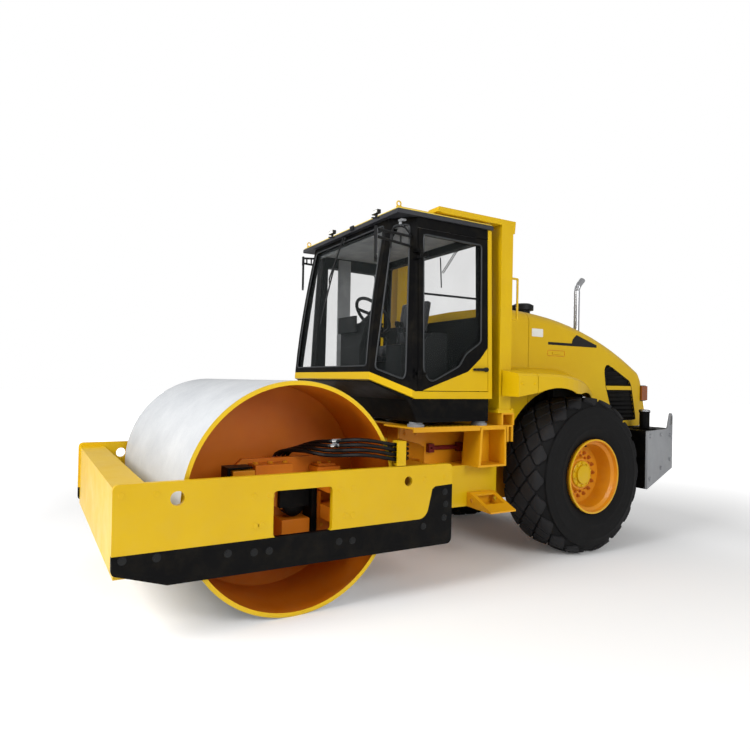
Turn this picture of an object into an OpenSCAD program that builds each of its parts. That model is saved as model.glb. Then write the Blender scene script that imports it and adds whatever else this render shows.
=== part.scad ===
// Single-drum road roller: front drum frame, articulated rear frame with cab, tilting hood and two tyres.
// Lengths are in millimetres. The front faces -Y, the driver's left is +X and the ground is at Z 0.
// Inside the modules Y is measured from the drum axle, and machine() moves that to the middle of the
// length.

/* [Drum] */
// Outer diameter of the drum
drum_d = 1600; // [1560:10:1620]
// Width of the drum along its axle
drum_w = 2130; // [2090:10:2140]
// Thickness of the rolled drum wall
drum_t = 30; // [24:1:34]

/* [Front frame] */
// Width over both side plates
frame_w = 2272; // [2260:4:2320]
// Thickness of a side plate
plate_t = 36; // [30:1:40]
// From the drum axle to the front end of the side plates
plate_front = 1205; // [1180:5:1260]
// From the drum axle to the rear end of the side plates
plate_rear = 1298; // [1280:2:1310]
// Height of the top edge of the side plates
plate_top = 985; // [970:5:1000]
// Height of the bottom edge of the side plates
plate_bottom = 360; // [340:5:380]

/* [Rear frame] */
// From the front of the cowl to the wheel axle
axle_back = 896; // [870:2:960]
// Length of the counterweight
weight_len = 730; // [700:5:780]
// Height of the deck under the cab
deck_z = 1235; // [1225:1:1245]

/* [Wheels] */
// Outer diameter of a tyre
tyre_d = 1490; // [1460:5:1500]
// Width of a tyre
tyre_w = 520; // [490:5:530]
// Distance between the middles of the two tyres
track_w = 1600; // [1580:5:1620]
// Outer diameter of the rim flange
rim_d = 704; // [680:4:720]

/* [Cab] */
// Width of the cab over the doors
cab_w = 1740; // [1700:5:1760]
// Width of the cab over the front corners
cab_front_w = 1400; // [1360:5:1440]
// Length of the cab
cab_len = 1180; // [1160:5:1200]
// Height of the cab from its yellow sill to the roof
cab_h = 1550; // [1500:10:1580]
// Thickness of the cab walls and doors
wall_t = 45; // [38:1:50]

/* [Hood] */
// Width of the engine hood
hood_w = 1320; // [1300:4:1340]
// Height of the hood at its front seam
hood_z = 2325; // [2290:5:2350]
// Thickness of the hood shell
skin_t = 12; // [10:1:16]

/* [Hidden] */

// Smooth circles everywhere, and coarser ones inside hulls
$fn = 64;
hull_fn = 32;
// How far cutters reach past the faces they cut
past = 5;

// Drum
drum_r = drum_d / 2;
drum_half = drum_w / 2;
steel_skin = 10;
head_x = 510;
head_t = 30;
hub_r = 190;

// Front frame
plate_out = frame_w / 2;
plate_in = plate_out - plate_t;
beam_deep = 235;
front_beam_y = -plate_front + 15;
rear_beam_y = plate_rear - 63;
beam_top = plate_top - 38;
beam_bottom = plate_bottom + 70;
beam_wall = 25;
band_z = plate_bottom + 215;
band_rear_z = plate_top - 172;

// Steering pivot and what turns round it
pivot_y = plate_rear + 302;
pivot_r = 45;
ear_r = 120;
ear_low = 655;
ear_high = 795;
fork_t = 50;
steer_z = 520;
rod_eye = [270, rear_beam_y + 90];
barrel_eye = [250, pivot_y + 750];
eye_r = 46;
eye_pin_r = 20;
barrel_r = 52;
rod_r = 28;
barrel_len = 600;
eye_half = 33;
eye_plates = [steer_z - eye_half - 25.3, steer_z + eye_half + 0.3];

// Rear frame
neck_x = 450;
neck_t = 25;
neck_front = pivot_y - 320;
neck_low_front = pivot_y - 40;
chassis_top = 1100;
axle_z = tyre_d / 2;
hinge_z = 1190;
hinge_r = 20;
hinge_pin_r = 12;
hinge_x = [345, 380, 440, 475];
weight_top = 1150;
weight_bottom = 560;
weight_rise = 160;
weight_w_front = 2040;
weight_w_rear = 1740;
end_plate_t = 20;

// Deck and steps
deck_front = pivot_y - 460;
deck_half = 850;
deck_t = 16;
step_front = pivot_y + 260;
step_len = 310;
step_in = 640;
step_box_z = 870;
step_low_z = 500;
tread_z = 490;
tread_out = 975;
tank_x = 680;
tank_front = pivot_y + 100;

// Cab, front corners, shoulder corners and rear corners in plan
cab_y = pivot_y - 810;
sill_z = deck_z + 235;
sill_h = 60;
sill_rise = 155;
cab_top = sill_z + cab_h;
cab_rear_y = cab_y + cab_len;
shoulder_y = cab_y + 310;
top_inset = 40;
windshield_back = 200;
roof_h = 65;
frame_top = cab_top - roof_h;
seat_gap = 0.3;

// Roll-over frame behind and above the cab
rops_y = cab_rear_y + 105;
rops_deep = 140;
rops_x = 710;
rops_w = 140;
rops_top = cab_top + 50;
cowl_y = rops_y + rops_deep + 15;

// Long way of the machine
wheelbase = cowl_y + axle_back;
weight_front = wheelbase + tyre_d / 2 + 79;
tail_y = weight_front + weight_len;
origin_shift = (plate_front - tail_y) / 2;

// Hood and fenders, all measured back from the wheel axle
seam_y = wheelbase - 476;
hood_end_y = tail_y - 90;
hinge_y = hood_end_y - 20;
hood_low_z = weight_top + 20;
hood_bend_r = 3900;
hood_bend_y = wheelbase - 706;
corner_r = 110;
fender_seam_y = wheelbase - 786;
fender_front_y = cowl_y - 130;
fender_out = 1050;
fender_end_y = wheelbase + 540;
arch_r = tyre_d / 2 + 85;

// Helpers

// Moves machine coordinates so that the length is centred on the origin
module machine() {
    translate([0, origin_shift, 0]) children();
}

// A block between two corners
module block(low, high) {
    translate(low) cube(high - low);
}

// The children and their mirror image on the other side
module both_sides() {
    children();
    mirror([1, 0, 0]) children();
}

// A plate of thickness t standing along Y, from outline points [y, z], its inner face at x
module side_profile(x, t, points) {
    translate([x, 0, 0]) rotate([90, 0, 90]) linear_extrude(t) polygon(points);
}

// A plate of thickness t standing across the machine, from outline points [x, z], its front face at y
module cross_profile(y, t, points) {
    translate([0, y + t, 0]) rotate([90, 0, 0]) linear_extrude(t) polygon(points);
}

// A round bar along X from x0 to x1
module bar_x(r, x0, x1, y, z) {
    translate([x0, y, z]) rotate([0, 90, 0]) cylinder(h = x1 - x0, r = r);
}

// A straight round bar between two points
module rod_between(a, b, r) {
    d = b - a;
    len = norm(d);
    translate(a) rotate([0, acos(d[2] / len), atan2(d[1], d[0])]) cylinder(h = len, r = r);
}

// Points of an arc round [y, z] from angle a0 to a1
function arc(c, r, a0, a1, n) = [for (i = [0:n]) let (a = a0 + (a1 - a0) * i / n) c +
    r * [cos(a), sin(a)]];

// A solid skinned over closed sections that all have the same number of points
module loft(sections) {
    n = len(sections[0]);
    m = len(sections);
    points = [for (s = sections) for (p = s) p];
    sides = [for (i = [0:m - 2]) for (j = [0:n - 1])
        [i * n + j, i * n + (j + 1) % n, (i + 1) * n + (j + 1) % n, (i + 1) * n + j]];
    polyhedron(points, concat([[for (j = [0:n - 1]) n - 1 - j]], sides,
        [[for (j = [0:n - 1]) (m - 1) * n + j]]), convexity = 6);
}

// Unit direction from a route's point i to the next
function heading(route, i) = let (d = route[min(i + 1, len(route) - 1)] - route[max(i - 1,
    0)]) d / norm(d);

// A round tube swept along a route of points
module tube(route, r, sides = 8) {
    rings = [for (i = [0:len(route) - 1])
        let (t = heading(route, i), u = cross(t, [0.3, 0, 1]) / norm(cross(t, [0.3, 0, 1])),
            v = cross(t, u))
        [for (k = [0:sides - 1]) route[i] + r * (cos(360 * k / sides) * u - sin(360 * k / sides) * v)]];
    loft(rings);
}

// A smooth run of points through hand-chosen ones
function smooth(p, steps) = [for (i = [0:len(p) - 2]) for (k = [0:steps - 1])
    let (a = p[max(i - 1, 0)], b = p[i], c = p[i + 1], d = p[min(i + 2, len(p) - 1)], t = k / steps)
    0.5 * (2 * b + (c - a) * t + (2 * a - 5 * b + 4 * c - d) * t * t +
        (3 * b - a - 3 * c + d) * t * t * t)];

// Drum

// The rolled steel wall that meets the ground
module drum_shell() {
    color("silver") machine() difference() {
        bar_x(drum_r, -drum_half, drum_half, 0, drum_r, $fn = 128);
        bar_x(drum_r - steel_skin, -drum_half - past, drum_half + past, 0, drum_r, $fn = 128);
    }
}

// The painted inner wall
module drum_lining() {
    color("darkorange") machine() difference() {
        bar_x(drum_r - steel_skin, -drum_half, drum_half, 0, drum_r, $fn = 128);
        bar_x(drum_r - drum_t, -drum_half - past, drum_half + past, 0, drum_r, $fn = 128);
    }
}

// The two recessed heads with their hubs
module drum_heads() {
    color("darkorange") machine() both_sides() {
        bar_x(drum_r - drum_t, head_x - head_t, head_x, 0, drum_r, $fn = 128);
        bar_x(hub_r, head_x, head_x + 60, 0, drum_r);
    }
}

// Front frame

// Top edge of the black band, from the front end to the rear end
band_edge = concat(
    [[-plate_front, band_z]],
    arc([plate_rear - 320, band_z + 90], 90, -90, -12, 6),
    [[plate_rear - 195, band_rear_z - 20], [plate_rear - 165, band_rear_z]],
    [[plate_rear, band_rear_z + 6]]
);

// Yellow upper part of both side plates with its window and lifting holes
module side_plates() {
    top = concat(
        [[plate_rear, band_rear_z + 6]],
        arc([plate_rear - 40, plate_top - 47], 40, 0, 90, 5),
        arc([-plate_front + 40, plate_top - 40], 40, 90, 180, 5)
    );
    color("gold") machine() both_sides() difference() {
        side_profile(plate_in, plate_t, concat(top, band_edge));
        window_cut();
        bar_x(44, plate_in - past, plate_out + past, -833, plate_top - 105);
        bar_x(36, plate_in - past, plate_out + past, plate_rear - 420, plate_top - 118);
    }
}

// Rounded window through a side plate
module window_cut() {
    translate([plate_in - past, 0, 0]) rotate([90, 0, 90]) linear_extrude(plate_t + 2 * past)
        hull() for (y = [-180, 205], z = [plate_top - 137, plate_bottom + 240]) translate([y, z])
            circle(r = 28);
}

// Black lower part of both side plates
module side_bands() {
    low = concat(
        arc([plate_rear - 45, plate_bottom + 45], 45, 0, -90, 5),
        [[-885, plate_bottom + 8]],
        arc([-plate_front + 30, plate_bottom + 130], 30, -110, -180, 4)
    );
    color("black") machine() both_sides() side_profile(plate_in, plate_t, concat(
        low, band_edge));
}

// Hollow cross beam between the side plates, its front face at y
module cross_beam(y) {
    difference() {
        block([-plate_in, y, beam_bottom], [plate_in, y + beam_deep - 30, beam_top]);
        block([-plate_in - past, y + beam_wall, beam_bottom + beam_wall],
            [plate_in + past, y + beam_deep - 30 - beam_wall, beam_top - beam_wall]);
    }
}

module front_beam() {
    color("gold") machine() cross_beam(front_beam_y);
}

// Rear cross beam with the pivot ear and the brackets of the steering rods
module rear_beam() {
    reach = pivot_y - rear_beam_y;
    color("orange") machine() {
        cross_beam(rear_beam_y - beam_deep + 30);
        difference() {
            union() {
                block([-160, rear_beam_y, ear_low - 80], [160, rear_beam_y + reach - 160, ear_high + 60]);
                block([-100, rear_beam_y + reach - 160, ear_low], [100, pivot_y, ear_high]);
                translate([0, pivot_y, ear_low]) cylinder(h = ear_high - ear_low, r = ear_r);
            }
            translate([0, pivot_y, ear_low - past])
                cylinder(h = ear_high - ear_low + 2 * past, r = pivot_r + 0.05);
        }
        both_sides() for (z = eye_plates) difference() {
            union() {
                block([rod_eye[0] - 40, rear_beam_y, z], [rod_eye[0] + 40, rod_eye[1], z + 25]);
                translate([rod_eye[0], rod_eye[1], z]) cylinder(h = 25, r = 40);
            }
            translate([rod_eye[0], rod_eye[1], z - past]) cylinder(h = 25 + 2 * past, r = eye_pin_r);
        }
    }
}

// Brackets that hold the drum's hubs, each a plate on four legs with the hydraulic motor in its middle
module drum_carriers() {
    face_x = head_x + 230;
    color("chocolate") machine() both_sides() {
        difference() {
            side_profile(face_x, 40, [[-400, 620], [-260, 500], [260, 500], [400, 620], [400, 960],
                [300, 1040], [-300, 1040], [-400, 960]]);
            bar_x(120, face_x - past, face_x + 45, 0, drum_r);
        }
        for (y = [-330, 310], z = [660, 860]) block([face_x + 40, y - 55, z - 50],
            [plate_in, y + 55, z + 50]);
        block([head_x + 85, -10, drum_r + 90], [head_x + 135, 130, hose_route[0][2] - seat_gap]);
        bar_x(120, head_x + 60 + seat_gap, face_x + 120, 0, drum_r);
        bar_x(150, head_x + 60 + seat_gap, head_x + 180, 0, drum_r);
    }
}

// Blades before and behind the drum, on arms from the beams
module scrapers() {
    gap = 12;
    y_front = -sqrt(pow(drum_r + gap, 2) - pow(drum_r - beam_bottom - 60, 2));
    color("gold") machine() for (s = [-1, 1]) {
        edge = s < 0 ? -front_beam_y - beam_deep + 30 : rear_beam_y - beam_deep + 30;
        for (x = [-700, 700]) block(
            [x - 60, s < 0 ? -edge : -y_front + 25, beam_bottom + 10],
            [x + 60, s < 0 ? y_front - 25 : edge, beam_bottom + 40]);
        block([-drum_half + 40, s < 0 ? y_front - 25 : -y_front, beam_bottom - 10],
            [drum_half - 40, s < 0 ? y_front : -y_front + 25, beam_bottom + 60]);
    }
}

// Valve block on the hitch that the drum hoses run to
valve_low = [100, pivot_y - 355, ear_high + 60 + seat_gap];
valve_high = [250, pivot_y - 300, ear_high + 290];
// Clamp that stands on the left side plate
clamp_y = [785, 835];
hose_r = 14;
hose_x = plate_in - 14;
hose_z = plate_top + 99;

// Route of the drum hoses with a fourth value: 0 where they lie side by side and 1 where they are stacked.
// They leave the motor, arch over the rim, pass the clamp and cross over the rear beam to the valve block.
hose_end_z = hose_z - 124;
hose_route = [
    [head_x + 110, 60, 956, 0], [head_x + 110, 60, 980, 0], [head_x + 110, 60, 1004, 0],
    [head_x + 118, 68, 1036, 0], [head_x + 155, 84, 1067, 0.05], [head_x + 215, 116, 1094, 0.15],
    [head_x + 340, 194, 1120, 0.4], [1000, 260, 1122, 0.7], [hose_x - 22, 350, 1128, 0.9],
    [hose_x, 466, 1130, 1], [hose_x, 620, 1112, 1],
    [hose_x, clamp_y[0] - 20, hose_z, 1], [hose_x, clamp_y[1] + 10, hose_z, 1],
    [hose_x - 70, 950, hose_z - 12, 1], [850, 1060, hose_z - 30, 1], [600, 1150, hose_z - 48, 1],
    [530, valve_low[1] - 17, hose_z - 54, 1], [470, valve_low[1] + 23, hose_z - 76, 1],
    [400, valve_low[1] + 27, hose_z - 109, 1], [valve_high[0] + 80, valve_low[1] + 27, hose_end_z + 2, 1],
    [valve_high[0] + 60, valve_low[1] + 27, hose_end_z, 1],
    [valve_high[0] + 35, valve_low[1] + 27, hose_end_z, 1],
    [valve_high[0] + seat_gap, valve_low[1] + 27, hose_end_z, 1]
];

// Black hoses of the drum motor, a pitch apart all along
module drum_hoses() {
    pitch = 36;
    route = concat(smooth(hose_route, 2), [hose_route[len(hose_route) - 1]]);
    color("black") machine() for (k = [-1.5, -0.5, 0.5, 1.5])
        tube([for (q = route) [q[0], q[1] + pitch * k * cos(90 * q[3]), q[2] + pitch * k * sin(90 * q[3])]], hose_r, 6);
}

// Yellow hoop on the side plate that holds the hoses, and the valve block at their end
module hose_clamp() {
    top = hose_z + 54 + hose_r + 1;
    color("gold") machine() {
        block([plate_out - 14, clamp_y[0] - 10, plate_top + seat_gap],
            [plate_out, clamp_y[1] + 15, top + 14]);
        block([hose_x - hose_r - 16, clamp_y[0], top], [plate_out, clamp_y[1], top + 14]);
        block([hose_x - hose_r - 16, clamp_y[0], plate_top + seat_gap],
            [hose_x - hose_r - 4, clamp_y[1], top + 14]);
        block([hose_x - hose_r - 16, clamp_y[0], plate_top + seat_gap],
            [plate_out, clamp_y[1], plate_top + 14]);
        block(valve_low, valve_high);
    }
}

// Rear frame

// Two neck plates, cross walls, pivot forks, cylinder brackets and axle seats
module rear_chassis() {
    outline = [[neck_front, deck_z - deck_t], [neck_front, deck_z - 130], [pivot_y - 90, deck_z - 190],
        [neck_low_front, deck_z - 215], [neck_low_front, 600], [pivot_y + 300, 600], [pivot_y + 400, 480],
        [wheelbase + 300, 480], [weight_front, 600], [weight_front, chassis_top],
            [wheelbase - 560, chassis_top],
        [wheelbase - 700, deck_z - deck_t]];
    color("darkorange") machine() {
        difference() {
            both_sides() side_profile(neck_x - neck_t / 2, neck_t, outline);
            bar_x(112, -neck_x - 20, neck_x + 20, wheelbase, axle_z);
        }
        block([-neck_x, pivot_y + 180, 600], [neck_x, pivot_y + 205, deck_z - deck_t]);
        block([-neck_x, wheelbase - 700, 480], [neck_x, wheelbase - 680, 900]);
        block([-neck_x, weight_front - 25, 600], [neck_x, weight_front, chassis_top]);
        pivot_fork();
        both_sides() {
            for (z = eye_plates) {
                block([barrel_eye[0] - 38, barrel_eye[1], z], [neck_x, barrel_eye[1] + 60, z + 25]);
                translate([barrel_eye[0], barrel_eye[1], z]) cylinder(h = 25, r = 38);
            }
            translate([barrel_eye[0], barrel_eye[1], eye_plates[0]])
                cylinder(h = eye_plates[1] - eye_plates[0] + 25, r = eye_pin_r);
        }
    }
}

// Upper and lower fork plates with the vertical pin
module pivot_fork() {
    for (z = [ear_low - fork_t - 5, ear_high + 5]) difference() {
        union() {
            block([-ear_r, pivot_y, z], [ear_r, pivot_y + 185, z + fork_t]);
            translate([0, pivot_y, z]) cylinder(h = fork_t, r = ear_r);
        }
        translate([0, pivot_y, z - past]) cylinder(h = fork_t + 2 * past, r = pivot_r);
    }
    translate([0, pivot_y, ear_low - fork_t - 5])
        cylinder(h = ear_high - ear_low + 2 * fork_t + 10, r = pivot_r);
}

// Deck plate, notched between the neck plates, with its lips and the plates under the roll-over posts
module deck() {
    rear = rops_y + rops_deep + 40;
    outline = [[-deck_half, deck_front], [-neck_x, deck_front - 20], [-neck_x, neck_front],
        [neck_x, neck_front],
        [neck_x, deck_front - 20], [deck_half, deck_front], [deck_half, rear], [-deck_half, rear]];
    color("gold") machine() {
        translate([0, 0, deck_z - deck_t]) linear_extrude(deck_t) polygon(outline);
        both_sides() {
            block([deck_half - 12, deck_front, deck_z - deck_t - 26],
                [deck_half, step_front, deck_z - deck_t]);
            for (y = [step_front + step_len + 10, rear - 20])
                block([neck_x + neck_t / 2, y, deck_z - 150], [deck_half, y + 20, deck_z - deck_t]);
            difference() {
                block([rops_x - 20, rops_y + 25, deck_z], [rops_x + rops_w + 10, rear, deck_z + 110]);
                block([rops_x, rops_y + 45, deck_z - past],
                    [rops_x + rops_w + 10 + past, rear - 20, deck_z + 95]);
            }
        }
    }
}

// Step box under the deck, the tank below it and the flared lower tread, on both sides
module steps() {
    back = step_front + step_len;
    color("gold") machine() both_sides() {
        difference() {
            side_profile(step_in, deck_half - step_in,
                [[step_front - 15, step_box_z], [step_front + 10, deck_z - deck_t],
                [back, deck_z - deck_t], [back + 6, step_box_z]]);
            side_profile(step_in + 18, deck_half,
                [[step_front + 10, step_box_z + 18], [step_front + 32, deck_z - deck_t - 22],
                [back - 20, deck_z - deck_t - 22], [back - 14, step_box_z + 18]]);
        }
        block([step_in + 18, step_front + 150, step_box_z + 18],
            [step_in + 70, step_front + 162, deck_z - deck_t - 22]);
        block([neck_x + neck_t / 2, tank_front, step_low_z], [tank_x, back + 60, step_box_z]);
        block([neck_x + neck_t / 2, step_front + 140, step_box_z], [step_in, back - 40, deck_z - 200]);
        difference() {
            cross_profile(step_front + 15, step_len - 15,
                [[tank_x, step_low_z + 125], [tank_x + 40, step_low_z + 125],
                [tread_out, tread_z + 14], [tread_out, tread_z], [tank_x, step_low_z]]);
            cross_profile(step_front + 30, step_len - 45,
                [[tank_x + 12, step_low_z + 112], [tank_x + 38, step_low_z + 112],
                [tread_out - 75, tread_z + 34], [tread_out - 75, tread_z + 14],
                    [tank_x + 12, step_low_z + 14]]);
            block([tank_x + 70, step_front + 55, tread_z - 50],
                [tread_out - 95, back - 40, step_low_z + 150]);
            translate([tank_x + 60, 0, step_low_z + 60]) rotate([-90, 0, 0]) cylinder(h = 4000, r = 20);
        }
    }
}

// Four rubber mounts between deck and cab
module cab_mounts() {
    color("dimgray") machine() both_sides() for (y = [deck_front + 75, cab_rear_y - 60])
        translate([deck_half - 75, y, deck_z]) {
            cylinder(h = 40, r = 55);
            cylinder(h = 22, r = 70);
        }
}

// Axle housing with its differential and the wheel flanges
module rear_axle() {
    flange_x = (track_w - tyre_w) / 2 + 20 - seat_gap;
    color("darkorange") machine() {
        bar_x(112, -flange_x, flange_x, wheelbase, axle_z);
        intersection() {
            translate([0, wheelbase, axle_z]) sphere(r = 240);
            block([-200, wheelbase - 240, axle_z - 240], [200, wheelbase + 240, axle_z + 240]);
        }
    }
}

// Engine as one plain block
module engine_block() {
    color("dimgray") machine() block(
        [-neck_x + neck_t / 2, wheelbase - 350, axle_z + 245],
        [neck_x - neck_t / 2, weight_front - 200, 1780]);
}

// Counterweight, narrower towards the rear with its underside rising, and the black filler on top
module counterweight() {
    plan = [[-weight_w_front / 2, weight_front], [weight_w_front / 2, weight_front],
        [weight_w_rear / 2, tail_y - 40], [weight_w_rear / 2 - 100, tail_y],
            [-weight_w_rear / 2 + 100, tail_y],
        [-weight_w_rear / 2, tail_y - 40]];
    color([0.12, 0.12, 0.12]) machine() {
        intersection() {
            translate([0, 0, weight_bottom]) linear_extrude(weight_top - weight_bottom) polygon(plan);
            side_profile(-frame_w / 2, frame_w, [[weight_front, weight_bottom],
                [tail_y, weight_bottom + weight_rise],
                [tail_y, weight_top], [weight_front, weight_top]]);
        }
        both_sides() {
            for (i = [0, 2]) {
                block([hinge_x[i], hinge_y - hinge_r, weight_top - past],
                    [hinge_x[i + 1], hinge_y + hinge_r, hinge_z]);
                bar_x(hinge_r, hinge_x[i], hinge_x[i + 1], hinge_y, hinge_z);
            }
            bar_x(hinge_pin_r, hinge_x[0], hinge_x[3], hinge_y, hinge_z);
        }
        translate([850, weight_front + 250, weight_top]) {
            translate([-90, -60, 0]) cube([180, 120, 16]);
            cylinder(h = 190, r = 48);
            translate([0, 0, 176]) cylinder(h = 14, r = 54);
        }
    }
}

// Grey end plates of the counterweight with their lifting eyes
module counterweight_plates() {
    side_len = norm([(weight_w_front - weight_w_rear) / 2, 690]);
    turn = atan2((weight_w_front - weight_w_rear) / 2, 690);
    outline = concat(
        [[0, weight_bottom], [side_len, weight_bottom + weight_rise]],
        arc([side_len - 45, weight_top + 125], 45, 0, 120, 6),
        [[side_len - 130, weight_top + 20], [side_len - 170, weight_top], [0, weight_top]]
    );
    color("gray") machine() both_sides() translate([weight_w_front / 2, weight_front, 0])
        rotate([0, 0, turn])
        difference() {
            side_profile(seat_gap, end_plate_t, outline);
            translate([0, side_len - 48, 0]) hull() for (z = [weight_top + 60, weight_top + 115])
                bar_x(24, -past, end_plate_t + 2 * past, 0, z, $fn = hull_fn);
        }
}

// Red articulation lock bar stowed along the left neck plate
module lock_bar() {
    x = neck_x + neck_t / 2 + 22;
    color("maroon") machine() {
        bar_len = 380;
        translate([x, pivot_y + 20, deck_z - 225]) rotate([-90, 0, 0]) cylinder(h = bar_len - 40, r = 20);
        for (y = [pivot_y + 10, pivot_y + bar_len - 30]) difference() {
            block([neck_x + neck_t / 2, y - 30, deck_z - 265], [x + 22, y + 30, deck_z - 185]);
            bar_x(11, neck_x, x + 30, y, deck_z - 225);
        }
    }
}

// Cab

// Outline of the cab in plan, inset from the walls by g and drawn in at the front by back
function cab_plan(g, back, narrow) = let (f = cab_front_w / 2 - narrow, s = cab_w / 2 - narrow)
    [[-f + g, cab_y + back + g], [f - g, cab_y + back + g], [s - g, shoulder_y + back / 4 + g / 2],
        [s - g, cab_rear_y - g],
        [-s + g, cab_rear_y - g], [-s + g, shoulder_y + back / 4 + g / 2]];

// Outline at height z, wound for the loft: the windshield bows forward and all walls lean in towards
// the roof
function cab_section(g, z) = let (k = max(0, (z - sill_z) / (frame_top - sill_z)),
    p = cab_plan(g, windshield_back * pow(k, 1.6), top_inset * k))
    [for (i = [len(p) - 1:-1:0]) [p[i][0], p[i][1], z]];

// The cab's body between two heights, inset by g
module cab_volume(g, z0, z1) {
    loft([for (i = [0:8]) cab_section(g, z0 + (z1 - z0) * i / 8)]);
}

// Hollow cab walls with no windows
module cab_shell(z0, z1) {
    difference() {
        cab_volume(0, z0, z1);
        cab_volume(wall_t, z0 - past, z1 + past);
    }
}

// The door's outline and its glass in side view
door_front_y = shoulder_y + 55;
door_rear_y = cab_rear_y - 45;
door_low_z = sill_z + sill_h;
door_top_z = frame_top - 85;
// Hinge pins of the door
door_hinge = [cab_w / 2 + 12, door_front_y + 3];
door_leaf_h = 26;
door_hinge_z = [door_low_z + 130, door_top_z - 240];
door_outline = [[door_front_y, door_low_z], [door_rear_y, door_low_z], [door_rear_y, door_top_z],
    [door_front_y, door_top_z]];
// Where the door's black frame ends above its yellow lower panel
door_break = [[door_front_y + 50, door_low_z], [door_front_y + 538, door_low_z + 172],
    [door_front_y + 681, door_low_z + 288],
    [door_rear_y, door_low_z + 391]];
side_glass_outline = [[door_front_y + 60, door_low_z + 170], [door_front_y + 110, door_low_z + 95],
    [door_front_y + 160, door_low_z + 85], [door_front_y + 440, door_low_z + 215],
        [door_front_y + 510, door_low_z + 320],
    [door_rear_y - 85, door_low_z + 430], [door_rear_y - 75, door_top_z - 60],
        [door_front_y + 60, door_top_z - 50]];

// Cutter for the windshield, seen from the front
module windshield_cut() {
    low = sill_z + sill_rise + sill_h + 45;
    f = cab_front_w / 2;
    cross_profile(cab_y - 100, 420, [[-f + 55, low], [f - 55, low],
        [f - 95, frame_top - 45], [-f + 95, frame_top - 45]]);
}

// Cutter for the rear window
module rear_cut() {
    s = cab_w / 2;
    cross_profile(cab_rear_y - 100, 200, [[-s + 170, sill_z + 730], [s - 170, sill_z + 730],
        [s - 190, frame_top - 90], [-s + 190, frame_top - 90]]);
}

// Cutter for the slanted corner window on the left
module corner_cut() {
    dx = (cab_w - cab_front_w) / 2;
    dy = shoulder_y - cab_y;
    side = norm([dx, dy]);
    translate([cab_front_w / 2, cab_y, 0]) rotate([0, 0, -atan2(dx, dy)]) side_profile(-160, 300, [
        [50, sill_z + sill_rise + sill_h + 25], [side - 75, sill_z + 155], [side - 55, sill_z + 200],
        [side - 35, frame_top - 60], [windshield_back - 10, frame_top - 60]]);
}

// What is yellow on the cab: the sill, the rear corner pillars and the panel under the right window
module yellow_zone() {
    sill_cut();
    both_sides() block([cab_w / 2 - 110, door_rear_y, sill_z],
        [cab_w, cab_rear_y + past, frame_top + past]);
    mirror([1, 0, 0]) side_profile(cab_w / 2 - 150, 250, lower_panel());
}

// The door's yellow lower panel in side view
function lower_panel() = concat(door_break, [[door_rear_y, door_low_z]]);

// Everything below the sill's top edge, which steps up towards the front
module sill_cut() {
    side_profile(-cab_w, 2 * cab_w, [[cab_y - 100, sill_z - 100], [cab_rear_y + 100, sill_z - 100],
        [cab_rear_y + 100, sill_z + sill_h],
        [shoulder_y + 30, sill_z + sill_h], [cab_y, sill_z + sill_rise + sill_h],
            [cab_y - 100, sill_z + sill_rise + sill_h]]);
}

// Black pillars and rails of the cab, with the windows cut and two hinge pins for the door
module cab_frame() {
    color([0.1, 0.1, 0.1]) machine() {
        difference() {
            cab_shell(sill_z + sill_h, frame_top);
            yellow_zone();
            windshield_cut();
            rear_cut();
            both_sides() corner_cut();
            side_profile(cab_w / 2 - 200, 300, door_outline);
            mirror([1, 0, 0]) side_profile(cab_w / 2 - 200, 300, side_glass_outline);
        }
        for (z = door_hinge_z) {
            for (s = [-door_leaf_h - 1, door_leaf_h + 1]) {
                block([cab_w / 2 - 60, door_front_y - 40, z + s],
                    [door_hinge[0], door_front_y - 3, z + s + door_leaf_h]);
                translate([door_hinge[0], door_hinge[1], z + s]) cylinder(h = door_leaf_h, r = 15);
            }
            translate([door_hinge[0], door_hinge[1], z - door_leaf_h - 1])
                cylinder(h = 3 * door_leaf_h + 2, r = 8);
        }
    }
}

// Yellow sill round the foot of the cab, with the rear corner pillars and the right lower panel
module cab_sill() {
    color("gold") machine() difference() {
        intersection() {
            cab_shell(sill_z, frame_top);
            yellow_zone();
        }
        translate([0, 0, -sill_h]) sill_cut();
    }
}

// Black floor pan and underbody below the sill
module cab_floor() {
    color([0.08, 0.08, 0.08]) machine() intersection() {
        cab_volume(wall_t / 2, deck_z + 40, sill_z + sill_rise);
        side_profile(-cab_w / 2, cab_w, [[cab_y, sill_z + sill_rise - seat_gap],
            [cab_y + 40, sill_z + sill_rise - 30], [cab_y + 290, sill_z - 10],
            [cab_y + 380, deck_z + 40], [rops_y - 10, deck_z + 40], [rops_y - 10, sill_z - seat_gap],
                [shoulder_y + 30, sill_z - seat_gap]]);
    }
}

// Rectangular outline of the roof, inset by g
function roof_plan(g) = let (w = cab_w / 2 - top_inset + 20 - g, front = cab_y + windshield_back - 50 +
    g, back = cab_rear_y - g)
    [[w, front], [-w, front], [-w, back], [w, back]];

// Dark roof cap with its edges turned down
module cab_roof() {
    color("dimgray") machine() loft([for (r = [[0, seat_gap], [0, 30], [15, 50], [60, roof_h]])
        [for (p = roof_plan(r[0])) [p[0], p[1], frame_top + r[1]]]]);
}

// Fixed panes: windshield, corner windows, rear window and the right side window
module cab_glass() {
    glass_in = wall_t / 2 - 3;
    color([0.7, 0.85, 0.9, 0.4]) machine() intersection() {
        difference() {
            cab_volume(glass_in, sill_z, frame_top);
            cab_volume(glass_in + 6, sill_z - past, frame_top + past);
        }
        union() {
            windshield_cut();
            rear_cut();
            both_sides() corner_cut();
            mirror([1, 0, 0]) side_profile(cab_w / 2 - 200, 300, side_glass_outline);
        }
    }
}

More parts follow.
